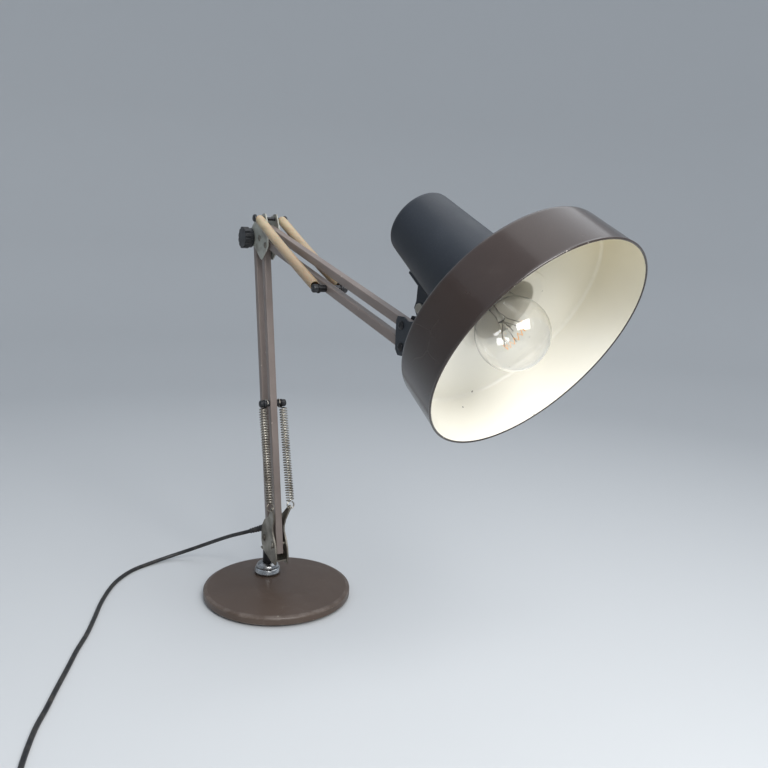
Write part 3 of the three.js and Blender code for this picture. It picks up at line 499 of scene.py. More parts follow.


# The base's tight edges rub paler, partly as wear and partly as a painted edge highlight.
BROWN_ENAMEL = new_material(
    "brown_stove_enamel", {}, stove_enamel("#54453b", "#463930", (0.34, 0.46), 0.1, 0.45))
weight = turned("base_iron_weight", [
    (0, 2.1), (92, 2.1, 0.5), (95, 3.4, 1.2), (95, 12.2, 2.4), (90.6, 13.5, 5), (66.5, 14.9, 60),
    (33, 16.2, 60), (0, 16.5),
], Matrix.Identity(4), 192)
weight.data.materials.append(BROWN_ENAMEL)
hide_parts("base_weight")
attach(weight, "base")
FELT_RADIUS = 89
FELT_THICK = 1.8
felt_pad = turned(
    "felt_pad", [(0, 0), (FELT_RADIUS, 0, 0.3), (FELT_RADIUS, FELT_THICK, 0.3), (0, FELT_THICK)],
    Matrix.Identity(4))


def pressed_felt(tree, place):
    """Pressed wool felt: dark fibres a few tenths of a millimetre across, lying every way."""
    fibres = add(
        tree, "ShaderNodeTexNoise", {"Vector": place, "Scale": 1700, "Detail": 6, "Distortion": 2})
    colours = {0: fibres, 6: linear("#121110"), 7: linear("#3a3734")}
    return {
        "Base Color": add(tree, "ShaderNodeMix", colours, 2, data_type="RGBA"),
        "Normal": add(tree, "ShaderNodeBump", {"Strength": 0.8, "Distance": 0.0003, "Height": fibres}),
    }


FELT = new_material("pressed_wool_felt", {"Roughness": 0.95, "Sheen Weight": 0.4}, pressed_felt)
felt_pad.data.materials.append(FELT)
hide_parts("base_pad")
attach(felt_pad, "base")

# ---- Socket and collar --------------------------------------------------------------------------
# A zinc bush pressed into the weight takes the arm's shaft. Two chromed rings dress it, a flared
# one below and a dome above, both gone dull between their worn edges.
CHROME = new_material("old_chrome_plate", {"Metallic": 1}, worn_metal("#c6c9cc", "#7d7b78", (0.12, 0.42)))
ZINC = new_material("dull_zinc_plate", {"Metallic": 1}, worn_metal("#a7a297", "#6c675f", (0.34, 0.62)))
DARK_STEEL = new_material("blackened_steel", {"Metallic": 1}, worn_metal("#4a4a4c", "#2b2a2a", (0.3, 0.55)))
COLLARS = {
    "collar_ring": [
        (6.9, 17.7), (17.2, 17.7, 0.3), (17.6, 19.4, 0.8), (16.3, 23.8, 1), (15, 24.6, 0.4),
        (6.9, 24.6), (6.9, 17.7),
    ],
    "collar_dome": [
        (6.9, 24.9), (14.6, 24.9, 0.3), (14.9, 26.4, 0.9), (13.6, 29.6, 2.4), (10.2, 31.6, 2),
        (6.9, 31.9), (6.9, 24.9),
    ],
}
for node, corners in COLLARS.items():
    collar = turned(f"{node}_turned", corners, AT_SOCKET)
    collar.data.materials.append(CHROME)
    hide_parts(node)
    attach(collar, "base")
bush = turned("socket_bush_turned", [
    (6.6, 12), (6.6, 17.4, 0.3), (10.7, 17.4, 0.4), (10.7, 8.9, 0.4), (6.6, 8.9), (6.6, 12)], AT_SOCKET, 48)
bush.data.materials.append(ZINC)
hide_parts("socket_bush")
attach(bush, "base")

# ---- Swivel shaft and bracket -------------------------------------------------------------------
# The steel shaft turns in the bush and is held by a nut below. The bracket on it is one zinc-plated
# stamping, with two ears for the bars' pivots and lugs that splay out for the springs' hooks.
shaft = turned("swivel_shaft_turned", [
    (0, 3.2), (5, 3.2, 0.6), (5, 8.4), (6.5, 8.6, 0.2), (6.5, 49.7, 0.4), (0, 49.7)], AT_SOCKET, 48)
shaft.data.materials.append(DARK_STEEL)
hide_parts("swivel_shaft")
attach(shaft, "bracket")
swivel_nut = softened("swivel_nut_rounded", "swivel_nut", 0.3)
swivel_nut.data.materials.append(ZINC)
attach(swivel_nut, "bracket")
swivel_screw = turned("swivel_screw_head", [
    (0, 52.3), (4.4, 52.3, 0.2), (4.2, 54.4, 0.9), (2.2, 55.2, 0.4), (1.9, 54), (0, 54)], AT_SOCKET, 32)
swivel_screw.data.materials.append(ZINC)
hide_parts("swivel_screw")
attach(swivel_screw, "bracket")
bracket = softened("bracket_stamping", "bracket", 0.45, 3)
bracket.data.materials.append(ZINC)
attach(bracket, "bracket")

# ---- Rivets -------------------------------------------------------------------------------------
# Each bar turns on a steel rivet that runs through both cheeks. Its heads are domed, with a small
# dimple from the set.
LOWER_LEAN = math.radians(9.12)
LOWER_LENGTH = 396
FRONT_FOOT = Vector((2.3, 0, 70))
REAR_FOOT = Vector((-27, 0, 70))
LOWER_ALONG = Vector((-math.sin(LOWER_LEAN), 0, math.cos(LOWER_LEAN)))
FRONT_TOP = FRONT_FOOT + LOWER_ALONG * LOWER_LENGTH
REAR_TOP = REAR_FOOT + LOWER_ALONG * LOWER_LENGTH
UPPER_DROP = math.radians(14.32)
UPPER_LENGTH = 351
UPPER_ALONG = Vector((math.cos(UPPER_DROP), 0, -math.sin(UPPER_DROP)))
TOP_ROOT = Vector((-40, 0, 471.4))
LOW_ROOT = Vector((-40, 0, 452))
TOP_END = TOP_ROOT + UPPER_ALONG * UPPER_LENGTH
LOW_END = LOW_ROOT + UPPER_ALONG * UPPER_LENGTH


def geometry_tree(name, inputs):
    """An empty geometry tree with a geometry input and output and those named inputs."""
    tree = bpy.data.node_groups.new(name, "GeometryNodeTree")
    tree.interface.new_socket("Geometry", in_out="INPUT", socket_type="NodeSocketGeometry")
    tree.interface.new_socket("Geometry", in_out="OUTPUT", socket_type="NodeSocketGeometry")
    for label, kind in inputs.items():
        tree.interface.new_socket(label, in_out="INPUT", socket_type=kind)
    entry = tree.nodes.new("NodeGroupInput")
    return tree, {socket.name: socket for socket in entry.outputs if socket.name}


def end_tree(tree, geometry, material):
    """Makes the instances real, sets the material and joins the result to the tree's output."""
    real = add(tree, "GeometryNodeRealizeInstances", {0: geometry})
    painted = add(tree, "GeometryNodeSetMaterial", {0: real, 2: material})
    leaving = tree.nodes.new("NodeGroupOutput")
    tree.links.new(painted, leaving.inputs[0])


def grown(name, start, tree, values):
    """The plain mesh that the tree makes of the start object, with the values put in its inputs."""
    modifier = start.modifiers.new("grow", "NODES")
    modifier.node_group = tree
    for item in tree.interface.items_tree:
        if item.in_out == "INPUT" and item.name in values:
            modifier[item.identifier] = values[item.name]
    bpy.context.view_layer.update()
    evaluated = start.evaluated_get(bpy.context.evaluated_depsgraph_get())
    mesh = bpy.data.meshes.new_from_object(evaluated)
    start.modifiers.remove(modifier)
    bpy.data.objects.remove(start)
    mesh.name = name
    made = bpy.data.objects.new(name, mesh)
    bpy.context.scene.collection.objects.link(made)
    return made


PIN_TREE, pin_inputs = geometry_tree(
    "pieces_on_their_points", {"Piece": "NodeSocketObject", "Finish": "NodeSocketMaterial"})
template = add(PIN_TREE, "GeometryNodeObjectInfo", {0: pin_inputs["Piece"], 1: True}, "Geometry")
set_pins = add(PIN_TREE, "GeometryNodeInstanceOnPoints", {0: pin_inputs["Geometry"], 2: template})
end_tree(PIN_TREE, set_pins, pin_inputs["Finish"])
ACROSS = Matrix.Rotation(-math.pi / 2, 4, "X")  # brings a turned piece's own Z to +Y


def on_points(name, template_piece, places, material):
    """Copies of a turned piece at places in mm, as one plain mesh."""
    mesh = bpy.data.meshes.new(name)
    mesh.from_pydata([place * MM for place in places], [], [])
    start = bpy.data.objects.new(f"{name}_points", mesh)
    bpy.context.scene.collection.objects.link(start)
    made = grown(name, start, PIN_TREE, {"Piece": template_piece, "Finish": material})
    bpy.data.objects.remove(template_piece)
    return made


def rivet(half, head, radius):
    """A rivet through two cheeks whose outer faces stand half mm from the middle."""
    seat = half + 0.05
    side = [
        (2.5, half - 1), (2.5, seat), (radius, seat, 0.3), (radius, half + head * 0.5, 0.8),
        (radius * 0.45, half + head, 0.8), (0.7, half + head), (0, half + head - 0.5),
    ]
    other = [(corner[0], -corner[1], *corner[2:]) for corner in reversed(side)]
    return turned("rivet_template", other + side, ACROSS, 40)


RIVETS = {
    "bracket_rivets": (
        rivet(9, 2.2, 4.6), (REAR_FOOT, FRONT_FOOT),
        ("bracket_pivot_rear", "bracket_pivot_front"), "bracket"),
    "elbow_rivets": (
        rivet(8.2, 1.6, 3.9), (FRONT_TOP, TOP_ROOT, LOW_ROOT),
        ("elbow_pivot_front", "elbow_pivot_top", "elbow_pivot_low"), "elbow"),
    "head_rivets": (
        rivet(8.2, 1.9, 4), (TOP_END, LOW_END), ("head_pivot_top", "head_pivot_low"), "head_bracket_body"),
}
RIVET_FINISH = {"bracket": ZINC, "elbow": ZINC, "head_bracket_body": DARK_STEEL}
for name, (template_rivet, places, nodes, body) in RIVETS.items():
    rivets = on_points(name, template_rivet, places, RIVET_FINISH[body])
    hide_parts(*nodes)
    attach(rivets, body)

# ---- Bars ---------------------------------------------------------------------------------------
# Four square steel tubes, enamelled brown, make the two parallelograms. Their enamel is painted a
# lighter grey-brown as a painted reflection of the sky. Their edges and ends have rubbed through to
# lighter metal, and the paler rub along their edges is partly a painted edge highlight.
BAR = 9.2
WALL = 1
EDGE_RADIUS = 1.1
# The bars' lighter grey-brown is brown enamel with a painted sky reflection; the paler edge rub is partly a
# painted highlight.
BAR_ENAMEL_SKY_LIT = new_material(
    "brown_stove_enamel_bars_sky_lit", {}, stove_enamel("#877c76", "#685c56", (0.28, 0.42), 0.1, 0.4))


def square_ring(half, radius):
    """A square's outline as (across, up, wear), rounded at its corners and worn there."""
    ring = []
    for quarter in range(4):
        turn = Matrix.Rotation(quarter * math.pi / 2, 2)
        centre = Vector((half - radius, half - radius))
        points = [(Vector((half, half - radius - 1.4)), 0)]
        for k in range(5):
            angle = k * math.pi / 8
            points.append((centre + Vector((math.cos(angle), math.sin(angle))) * radius, 1))
        points.append((Vector((half - radius - 1.4, half)), 0))
        ring += [(*(turn @ point), wear) for point, wear in points]
    return ring


def square_tube(name, node, start, along, before, after):
    """A bar in the arm's plane, from before mm ahead of its first pivot to after mm along."""
    shape = bmesh.new()
    worn = shape.verts.layers.float.new("wear")
    up = along.cross(Vector((0, 1, 0)))
    outer = square_ring(BAR / 2, EDGE_RADIUS)
    inner = square_ring(BAR / 2 - WALL, EDGE_RADIUS - WALL * 0.6)
    stops = [(-before, 1), (-before + 4, 0), (after - 4, 0), (after, 1)]
    rows = []
    for ring, ring_stops in ((outer, stops), (inner, reversed(stops))):
        for distance, end_wear in ring_stops:
            row = []
            for across, rise, wear in ring:
                point = start + along * distance + Vector((0, across, 0)) + up * rise
                row.append(shape.verts.new(point * MM))
                row[-1][worn] = max(wear, end_wear)
            rows.append(row)
    count = len(outer)
    for row, following in zip(rows, [*rows[1:], rows[0]]):
        for k in range(count):
            j = (k + 1) % count
            shape.faces.new((row[k], row[j], following[j], following[k]))
    made = add_mesh(name, shape, 50)
    made.data.materials.append(BAR_ENAMEL_SKY_LIT)
    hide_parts(node)
    return made


BAR_PAST_PIVOT = 6
LOWER_BARS = (
    ("lower_rear_tube", "lower_rear_bar", REAR_FOOT, 8, "lower_rear_arm"),
    ("lower_front_tube", "lower_front_bar", FRONT_FOOT, 12, "lower_front_arm"),
)
for name, node, foot, before, body in LOWER_BARS:
    tube = square_tube(name, node, foot, LOWER_ALONG, before, LOWER_LENGTH + BAR_PAST_PIVOT)
    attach(tube, body)
UPPER_BARS = (
    ("upper_top_tube", "upper_top_bar", TOP_ROOT, "upper_top_arm"),
    ("upper_low_tube", "upper_low_bar", LOW_ROOT, "upper_low_arm"),
)
for name, node, root, body in UPPER_BARS:
    tube = square_tube(name, node, root, UPPER_ALONG, BAR_PAST_PIVOT, UPPER_LENGTH + BAR_PAST_PIVOT)
    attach(tube, body)

# ---- Spring pins --------------------------------------------------------------------------------
# A blackened spindle crosses each sprung bar. Its flanges keep the springs on, and moulded caps
# close its ends.
SPRING_PIN = FRONT_FOOT + LOWER_ALONG * 183.2
SLEEVE_PIN = LOW_ROOT + UPPER_ALONG * 178.6
ANCHOR = Vector((-46, 0, 485))
PINS = (
    ("lower_spring_pin", SPRING_PIN, 10.6, 5, "lower_front_arm"),
    ("sleeve_pin", SLEEVE_PIN, 12.4, 6, "upper_low_arm"),
)


def end_cap(name, node, at, side, start, length, body):
    """A moulded cap on the end of a spindle, with a rounded nose."""
    corners = [(0, start), (4.6, start, 0.3), (4.6, start + length, 1.8), (0, start + length)]
    facing_out = ACROSS if side > 0 else Matrix.Rotation(math.pi / 2, 4, "X")
    cap_piece = turned(name, corners, Matrix.Translation(at * MM) @ facing_out, 48)
    cap_piece.data.materials.append(BLACK_PLASTIC)
    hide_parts(node)
    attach(cap_piece, body)


for prefix, at, hub_end, cap_length, body in PINS:
    flange = hub_end + 1.9
    half_profile = [(3.9, 4.9, 0.2), (3.9, hub_end), (5.2, hub_end, 0.3), (5.2, flange, 0.3), (0, flange)]
    other_half = [(corner[0], -corner[1], *corner[2:]) for corner in reversed(half_profile)]
    spindle = turned(
        f"{prefix}_turned", other_half + [(2, -4.9), (2, 4.9)] + half_profile,
        Matrix.Translation(at * MM) @ ACROSS, 40)
    spindle.data.materials.append(DARK_STEEL)
    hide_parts(f"{prefix}_spindle")
    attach(spindle, body)
    for label, side in (("left", -1), ("right", 1)):
        end_cap(f"{prefix}_{label}_cap", f"{prefix}_cap_{label}", at, side, flange + 0.3, cap_length, body)

# ---- Balance springs ----------------------------------------------------------------------------
# Close-wound steel springs stand beside the front bar. A full loop at the foot hooks through the
# ear's lug, and the last turn at the top goes round the pin's hub.
WIRE = 0.85
COIL_RADIUS = 4.6
HUB_LOOP_RADIUS = 4.9
TURN_STEPS = 20
FIRST_COIL = 8.8  # from the hook to the first coil, along the spring
LAST_COIL = 7.4
SPRING_Y = 13.8
SPRING_TURNS = 37
SPRING_HOOK = Vector((7.4, 0, 118.3))
WIRE_TREE, wire_inputs = geometry_tree("round_wire_on_its_path", {
    "Wire radius": "NodeSocketFloat", "Sides": "NodeSocketInt", "Finish": "NodeSocketMaterial"})
wire_path = add(WIRE_TREE, "GeometryNodeMeshToCurve", {0: wire_inputs["Geometry"]})
wire_section = add(
    WIRE_TREE, "GeometryNodeCurvePrimitiveCircle",
    {"Resolution": wire_inputs["Sides"], "Radius": wire_inputs["Wire radius"]})
wire_skin = add(WIRE_TREE, "GeometryNodeCurveToMesh", {0: wire_path, 1: wire_section, "Fill Caps": True})
wire_smooth = add(WIRE_TREE, "GeometryNodeSetShadeSmooth", {0: wire_skin})
end_tree(WIRE_TREE, wire_smooth, wire_inputs["Finish"])


def wire(name, paths, radius, material, sides=10):
    """Round wires along paths of points in mm, as one plain mesh."""
    corners = []
    edges = []
    for path in paths:
        edges += [(len(corners) + k, len(corners) + k + 1) for k in range(len(path) - 1)]
        corners += [point * MM for point in path]
    mesh = bpy.data.meshes.new(name)
    mesh.from_pydata(corners, edges, [])
    start = bpy.data.objects.new(f"{name}_path", mesh)
    bpy.context.scene.collection.objects.link(start)
    return grown(name, start, WIRE_TREE, {"Wire radius": radius * MM, "Sides": sides, "Finish": material})


SPRING_STEEL = new_material(
    "spring_steel_wire", {"Metallic": 1}, worn_metal("#c4bfb4", "#857c70", (0.22, 0.45)))
spring_axis = (SPRING_PIN - SPRING_HOOK).normalized()
spring_side = spring_axis.cross(Vector((0, 1, 0)))
spring_run = (SPRING_PIN - SPRING_HOOK).length
for label, side in (("left", -1), ("right", 1)):
    out = Vector((0, side, 0))
    foot = SPRING_HOOK + out * SPRING_Y
    path = []
    loop_centre = foot + spring_axis * 4.2
    loop_steps = 30
    for k in range(loop_steps + 1):
        angle = math.radians(28 + 332 * k / loop_steps)
        path.append(loop_centre + (spring_axis * math.cos(angle) + out * math.sin(angle)) * COIL_RADIUS)
    steps = SPRING_TURNS * TURN_STEPS
    for k in range(1, steps + 1):
        angle = 2 * math.pi * k / TURN_STEPS
        share = k / steps
        opened = COIL_RADIUS * min(1, k / 9)
        rise = FIRST_COIL + (spring_run - LAST_COIL - FIRST_COIL) * share
        around = out * math.cos(angle) + spring_side * math.sin(angle)
        path.append(foot + spring_axis * rise + around * opened)
    hub = SPRING_PIN + out * 8.2
    hub_steps = 18
    for k in range(1, hub_steps + 1):
        angle = math.radians(-100 + 290 * k / hub_steps)
        around = spring_side * math.cos(angle) + spring_axis * math.sin(angle)
        path.append(hub + around * HUB_LOOP_RADIUS)
    spring = wire(f"balance_spring_{label}", [path], WIRE, SPRING_STEEL)
    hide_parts(f"lower_spring_{label}")
    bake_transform(spring)

# ---- Elbow --------------------------------------------------------------------------------------
# Two pressed steel cheeks in grey-green enamel hold the four pivots. A rod at their top anchors the
# upper springs, and a stud at the back carries the clamping knob.
def grey_enamel(tree, place):
    """Thin grey-green enamel on steel, stained brown in patches and rubbed bright in spots."""
    clouds = add(tree, "ShaderNodeTexNoise", {"Vector": place, "Scale": 60, "Detail": 6})
    paint = add(
        tree, "ShaderNodeMix",
        {0: clouds, 6: linear("#95968d"), 7: linear("#b3b4ab")}, 2, data_type="RGBA")
    stain = add(tree, "ShaderNodeMapRange", {0: clouds, 1: 0.52, 2: 0.66, 3: 0.0, 4: 0.55})
    stained = add(tree, "ShaderNodeMix", {0: stain, 6: paint, 7: linear("#5d5348")}, 2, data_type="RGBA")
    rubs = add(tree, "ShaderNodeTexNoise", {"Vector": place, "Scale": 320, "Detail": 5})
    return {
        "Base Color": stained,
        "Roughness": add(tree, "ShaderNodeMapRange", {0: rubs, 1: 0.3, 2: 0.7, 3: 0.36, 4: 0.58}),
        "Normal": add(tree, "ShaderNodeBump", {"Strength": 0.12, "Distance": 0.0001, "Height": rubs}),
    }


GREY_ENAMEL = new_material("grey_green_enamel", {}, grey_enamel)
for label in ("left", "right"):
    cheek = softened(f"elbow_plate_{label}", f"elbow_cheek_{label}", 0.4)
    cheek.data.materials.append(GREY_ENAMEL)
    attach(cheek, "elbow")
stud = turned("clamp_stud_turned", [
    (0, -18.6), (2.5, -18.6, 0.5), (2.5, 8.3), (4.6, 8.3, 0.2), (4.6, 9.7, 0.8), (2.4, 10.8, 0.6), (0, 10.8)],
    Matrix.Translation(REAR_TOP * MM) @ ACROSS, 40)
stud.data.materials.append(ZINC)
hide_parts("elbow_clamp_stud")
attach(stud, "elbow")
anchor_rod = turned(
    "spring_anchor_rod", [(0, -18.4), (2, -18.4, 0.3), (2, 18.4, 0.3), (0, 18.4)],
    Matrix.Translation(ANCHOR * MM) @ ACROSS, 32)
anchor_rod.data.materials.append(DARK_STEEL)
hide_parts("anchor_rod")
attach(anchor_rod, "elbow")
for label, side in (("left", -1), ("right", 1)):
    end_cap(f"anchor_{label}_cap", f"anchor_cap_{label}", ANCHOR, side, 18.7, 3.6, "elbow")
elbow_knob = softened("fluted_clamp_knob", "elbow_knob", 0.5, 3)
elbow_knob.data.materials.append(BLACK_PLASTIC)
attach(elbow_knob, "clamp_knob")

# ---- Upper springs' sleeves ---------------------------------------------------------------------
# Extruded plastic tubes cover the upper springs. They have yellowed to cream and bow a little, and
# grime has settled on them in long faint streaks.
SLEEVE_Y = 15
SLEEVE_BOW = 1.3
SLEEVE_OUTER = 5.85
SLEEVE_INNER = 4.8
SLEEVE_STEPS = 24
SLEEVE_SIDES = 40
sleeve_axis = (SLEEVE_PIN - ANCHOR).normalized()
sleeve_up = sleeve_axis.cross(Vector((0, 1, 0)))
sleeve_start = 3.4
sleeve_end = (SLEEVE_PIN - ANCHOR).length - 6.6


def yellowed_sleeve(tree, place):
    """Yellowed soft plastic streaked with grime, coloured cream at the top end and darker towards the bottom.
    """
    turned_place = add(
        tree, "ShaderNodeMapping",
        {"Vector": place, "Rotation": (0, math.radians(-29), 0), "Scale": (22, 150, 150)})
    streaks = add(tree, "ShaderNodeTexNoise", {"Vector": turned_place, "Scale": 1, "Detail": 5})
    # The tube is coloured lighter at its top end and darker towards the bottom.
    height = add(tree, "ShaderNodeSeparateXYZ", {0: place}, 2)
    low = add(tree, "ShaderNodeMapRange", {0: height, 1: 0.478, 2: 0.43, 3: 0.0, 4: 0.8})
    body_colour = add(
        tree, "ShaderNodeMix", {0: low, 6: linear("#b5a283"), 7: linear("#8f7a62")}, 2, data_type="RGBA")
    grime = add(tree, "ShaderNodeMapRange", {0: streaks, 1: 0.5, 2: 0.75, 3: 0.0, 4: 0.4})
    soiled = add(
        tree, "ShaderNodeMix", {0: grime, 6: body_colour, 7: linear("#75624d")}, 2, data_type="RGBA")
    return {
        "Base Color": soiled,
        "Roughness": add(tree, "ShaderNodeMapRange", {0: streaks, 1: 0.3, 2: 0.7, 3: 0.3, 4: 0.52}),
        "Normal": add(tree, "ShaderNodeBump", {"Strength": 0.15, "Distance": 0.0002, "Height": streaks}),
    }


SLEEVE_PLASTIC = new_material(
    "yellowed_plastic_sleeve", {"Subsurface Weight": 0.15, "Subsurface Scale": 0.002}, yellowed_sleeve)
for label, side in (("left", -1), ("right", 1)):
    shape = bmesh.new()
    rows = []
    stops = [sleeve_start + (sleeve_end - sleeve_start) * k / SLEEVE_STEPS for k in range(SLEEVE_STEPS + 1)]
    for radius, order in ((SLEEVE_OUTER, stops), (SLEEVE_INNER, list(reversed(stops)))):
        for distance in order:
            share = (distance - sleeve_start) / (sleeve_end - sleeve_start)
            middle = ANCHOR + Vector((0, side * SLEEVE_Y, 0)) + sleeve_axis * distance
            middle -= sleeve_up * SLEEVE_BOW * math.sin(math.pi * share)
            pinch = 0.4 if share in (0, 1) and radius == SLEEVE_OUTER else 0
            row = []
            for k in range(SLEEVE_SIDES):
                angle = 2 * math.pi * k / SLEEVE_SIDES
                around = Vector((0, math.cos(angle), 0)) + sleeve_up * math.sin(angle)
                row.append(shape.verts.new((middle + around * (radius - pinch)) * MM))
            rows.append(row)
    for row, following in zip(rows, [*rows[1:], rows[0]]):
        for k in range(SLEEVE_SIDES):
            j = (k + 1) % SLEEVE_SIDES
            shape.faces.new((row[k], row[j], following[j], following[k]))
    sleeve = add_mesh(f"spring_sleeve_{label}", shape, 50)
    sleeve.data.materials.append(SLEEVE_PLASTIC)
    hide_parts(f"sleeve_{label}")
    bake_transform(sleeve)

# ---- Head bracket and yoke ----------------------------------------------------------------------
# A folded steel bracket in black enamel joins the upper bars' ends. The yoke's stud turns in its
# top plate and is held by a nut, and the shade tilts on the yoke's tongue.
def satin_black_enamel_sky_blue(tree, place):
    """Satin black enamel with very fine orange peel, dust and a few pale rubs; its blue cast is a painted sky
    reflection.
    """
    clouds = add(tree, "ShaderNodeTexNoise", {"Vector": place, "Scale": 26, "Detail": 6})
    specks = add(tree, "ShaderNodeTexNoise", {"Vector": place, "Scale": 800, "Detail": 4})
    # The blue cast of these blacks is a painted reflection of the sky.
    paint = add(
        tree, "ShaderNodeMix", {0: clouds, 6: linear("#171b21"), 7: linear("#20262e")}, 2, data_type="RGBA")
    dust = add(tree, "ShaderNodeMapRange", {0: specks, 1: 0.55, 2: 0.8, 3: 0.0, 4: 0.08})
    return {
        "Base Color": add(
            tree, "ShaderNodeMix", {0: dust, 6: paint, 7: linear("#6f7479")}, 2, data_type="RGBA"),
        "Roughness": add(tree, "ShaderNodeMapRange", {0: clouds, 1: 0.3, 2: 0.7, 3: 0.4, 4: 0.55}),
        "Normal": add(tree, "ShaderNodeBump", {"Strength": 0.1, "Distance": 0.0001, "Height": specks}),
    }


SATIN_BLACK_SKY_BLUE = new_material("satin_black_enamel_sky_blue", {}, satin_black_enamel_sky_blue)
HEAD_PIECES = (
    ("folded_head_bracket", "head_bracket", 0.4, SATIN_BLACK_SKY_BLUE, "black_enamel", "head_bracket_body"),
    ("swivel_yoke", "head_yoke", 0.5, DARK_STEEL, "dark_steel", "yoke"),
    ("yoke_lock_nut", "yoke_nut", 0.3, ZINC, "zinc", "yoke"),
    ("shade_strap_pressing", "shade_strap", 0.5, SATIN_BLACK_SKY_BLUE, "black_enamel", "shade"),
)
for name, node, width, material, slot, body in HEAD_PIECES:
    piece = softened(name, node, width)
    piece.data.materials.append(material)
    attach(piece, body)

# ---- Drum shade ---------------------------------------------------------------------------------
# A spun steel drum with a rolled rim, glossy brown outside and white enamel inside. The rim is
# chipped to bare metal, and the white has a few dark specks; its upper part is painted a warm tan
# as painted shade.
HEAD = Matrix.Translation((0.327, 0, 0)) @ Matrix.Rotation(math.radians(12.6), 4, "Z")
SHADE_TILT = math.radians(90 + 34.6)
SHADE = HEAD @ Matrix.Translation((0.0856, 0, 0.4073)) @ Matrix.Rotation(SHADE_TILT, 4, "Y")
DRUM_DEPTH = 47.2
RIM_RADIUS = 101.5
BACK_RADIUS = 97.3
SHEET = 0.8
BACK_HOLE = 37
drum = turned("spun_drum_shade", [
    (BACK_HOLE, 0.4), (BACK_HOLE, 0), (BACK_RADIUS, 0, 4), (RIM_RADIUS - 0.1, DRUM_DEPTH - 2.4, 1),
    (RIM_RADIUS + 0.5, DRUM_DEPTH - 1, 0.7), (RIM_RADIUS - 0.3, DRUM_DEPTH, 0.6),
    (RIM_RADIUS - 1.5, DRUM_DEPTH - 0.9, 0.5), (BACK_RADIUS - SHEET, SHEET, 3.2), (BACK_HOLE, SHEET),
    (BACK_HOLE, 0.4),
], SHADE, 224)


def white_enamel(tree, place):
    """White stove enamel with rare dark specks under 1 mm, painted a warm tan towards the top as painted
    shade.
    """
    clouds = add(tree, "ShaderNodeTexNoise", {"Vector": place, "Scale": 12, "Detail": 4})
    film = add(
        tree, "ShaderNodeMix", {0: clouds, 6: linear("#ebe8de"), 7: linear("#e6e2d5")}, 2, data_type="RGBA")
    grains = add(tree, "ShaderNodeTexVoronoi", {"Vector": place, "Scale": 55})
    picked = add(tree, "ShaderNodeTexNoise", {"Vector": place, "Scale": 35, "Detail": 0})
    speck = add(tree, "ShaderNodeMapRange", {0: grains, 1: 0.045, 2: 0.03})
    rare = add(tree, "ShaderNodeMapRange", {0: picked, 1: 0.62, 2: 0.64})
    mark = add(tree, "ShaderNodeMath", {0: speck, 1: rare}, operation="MULTIPLY")
    height = add(tree, "ShaderNodeSeparateXYZ", {0: place}, 2)
    # Painted shade: the white turns warm tan higher up inside the shade.
    painted_upper_shade = add(tree, "ShaderNodeMapRange", {0: height, 1: 0.38, 2: 0.48, 3: 0.0, 4: 0.85})
    film_with_upper_shade = add(tree, "ShaderNodeMix", {0: painted_upper_shade, 6: film, 7: linear("#ddd0ab")}, 2, data_type="RGBA")
    marked = add(tree, "ShaderNodeMix", {0: mark, 6: film_with_upper_shade, 7: linear("#3a2f28")}, 2, data_type="RGBA")
    worn = add(tree, "ShaderNodeAttribute", {}, "Fac", attribute_name="wear")
    bites = add(tree, "ShaderNodeTexNoise", {"Vector": place, "Scale": 160, "Detail": 5})
    reach = add(tree, "ShaderNodeMath", {0: worn, 1: 0.1}, operation="MULTIPLY")
    depth = add(tree, "ShaderNodeMath", {0: bites, 1: reach}, operation="ADD")
    chip = add(tree, "ShaderNodeMapRange", {0: depth, 1: 0.8, 2: 0.82})
    peel = add(tree, "ShaderNodeTexNoise", {"Vector": place, "Scale": 380, "Detail": 2})
    return {
        "Base Color": add(
            tree, "ShaderNodeMix", {0: chip, 6: marked, 7: linear("#4b3a2f")}, 2, data_type="RGBA"),
        "Roughness": add(tree, "ShaderNodeMapRange", {0: clouds, 1: 0.3, 2: 0.7, 3: 0.3, 4: 0.42}),
        "Normal": add(tree, "ShaderNodeBump", {"Strength": 0.06, "Distance": 0.0002, "Height": peel}),
    }


# The drum's rim gets a thin paler line that is mostly a painted highlight, with a little wear.
DRUM_ENAMEL = new_material(
    "brown_stove_enamel_gloss", {"Coat Weight": 0.3, "Coat Roughness": 0.12},
    stove_enamel("#30251f", "#271d19", (0.2, 0.28), 0.02, 0.06, 0.8))
WHITE_ENAMEL = new_material("white_stove_enamel", {}, white_enamel)
drum.data.materials.append(DRUM_ENAMEL)
drum.data.materials.append(WHITE_ENAMEL)
to_shade = SHADE.inverted()
for face in drum.data.polygons:
    middle = to_shade @ face.center
    normal = to_shade.to_3x3() @ face.normal
    inward = normal.x * middle.x + normal.y * middle.y < -0.3 * math.hypot(middle.x, middle.y)
    floor_side = normal.z > 0.5 and middle.z < 0.5 * DRUM_DEPTH * MM
    on_rim = middle.z > (DRUM_DEPTH - 1) * MM
    face.material_index = 1 if (inward or floor_side) and not on_rim else 0
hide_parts("drum_shade")
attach(drum, "shade")

# ---- Reflector neck -----------------------------------------------------------------------------
# A white enamelled ring is crimped into the drum's back and runs on as a cone round the bulb's
# neck, so that the inside of the cap stays hidden.
reflector_neck = turned("reflector_neck", [
    (25.6, -12), (29.4, -0.4, 0.6), (36.6, 0.9, 0.4), (39.5, 0.9, 0.2), (39.5, 1.4, 0.2),
    (36.2, 1.4, 0.5), (28.7, 0.1, 1.2), (21.4, -25, 0.3), (21.9, -25.3, 0.2), (25.6, -12),
], SHADE, 128)
reflector_neck.data.materials.append(WHITE_ENAMEL)
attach(reflector_neck, "shade")

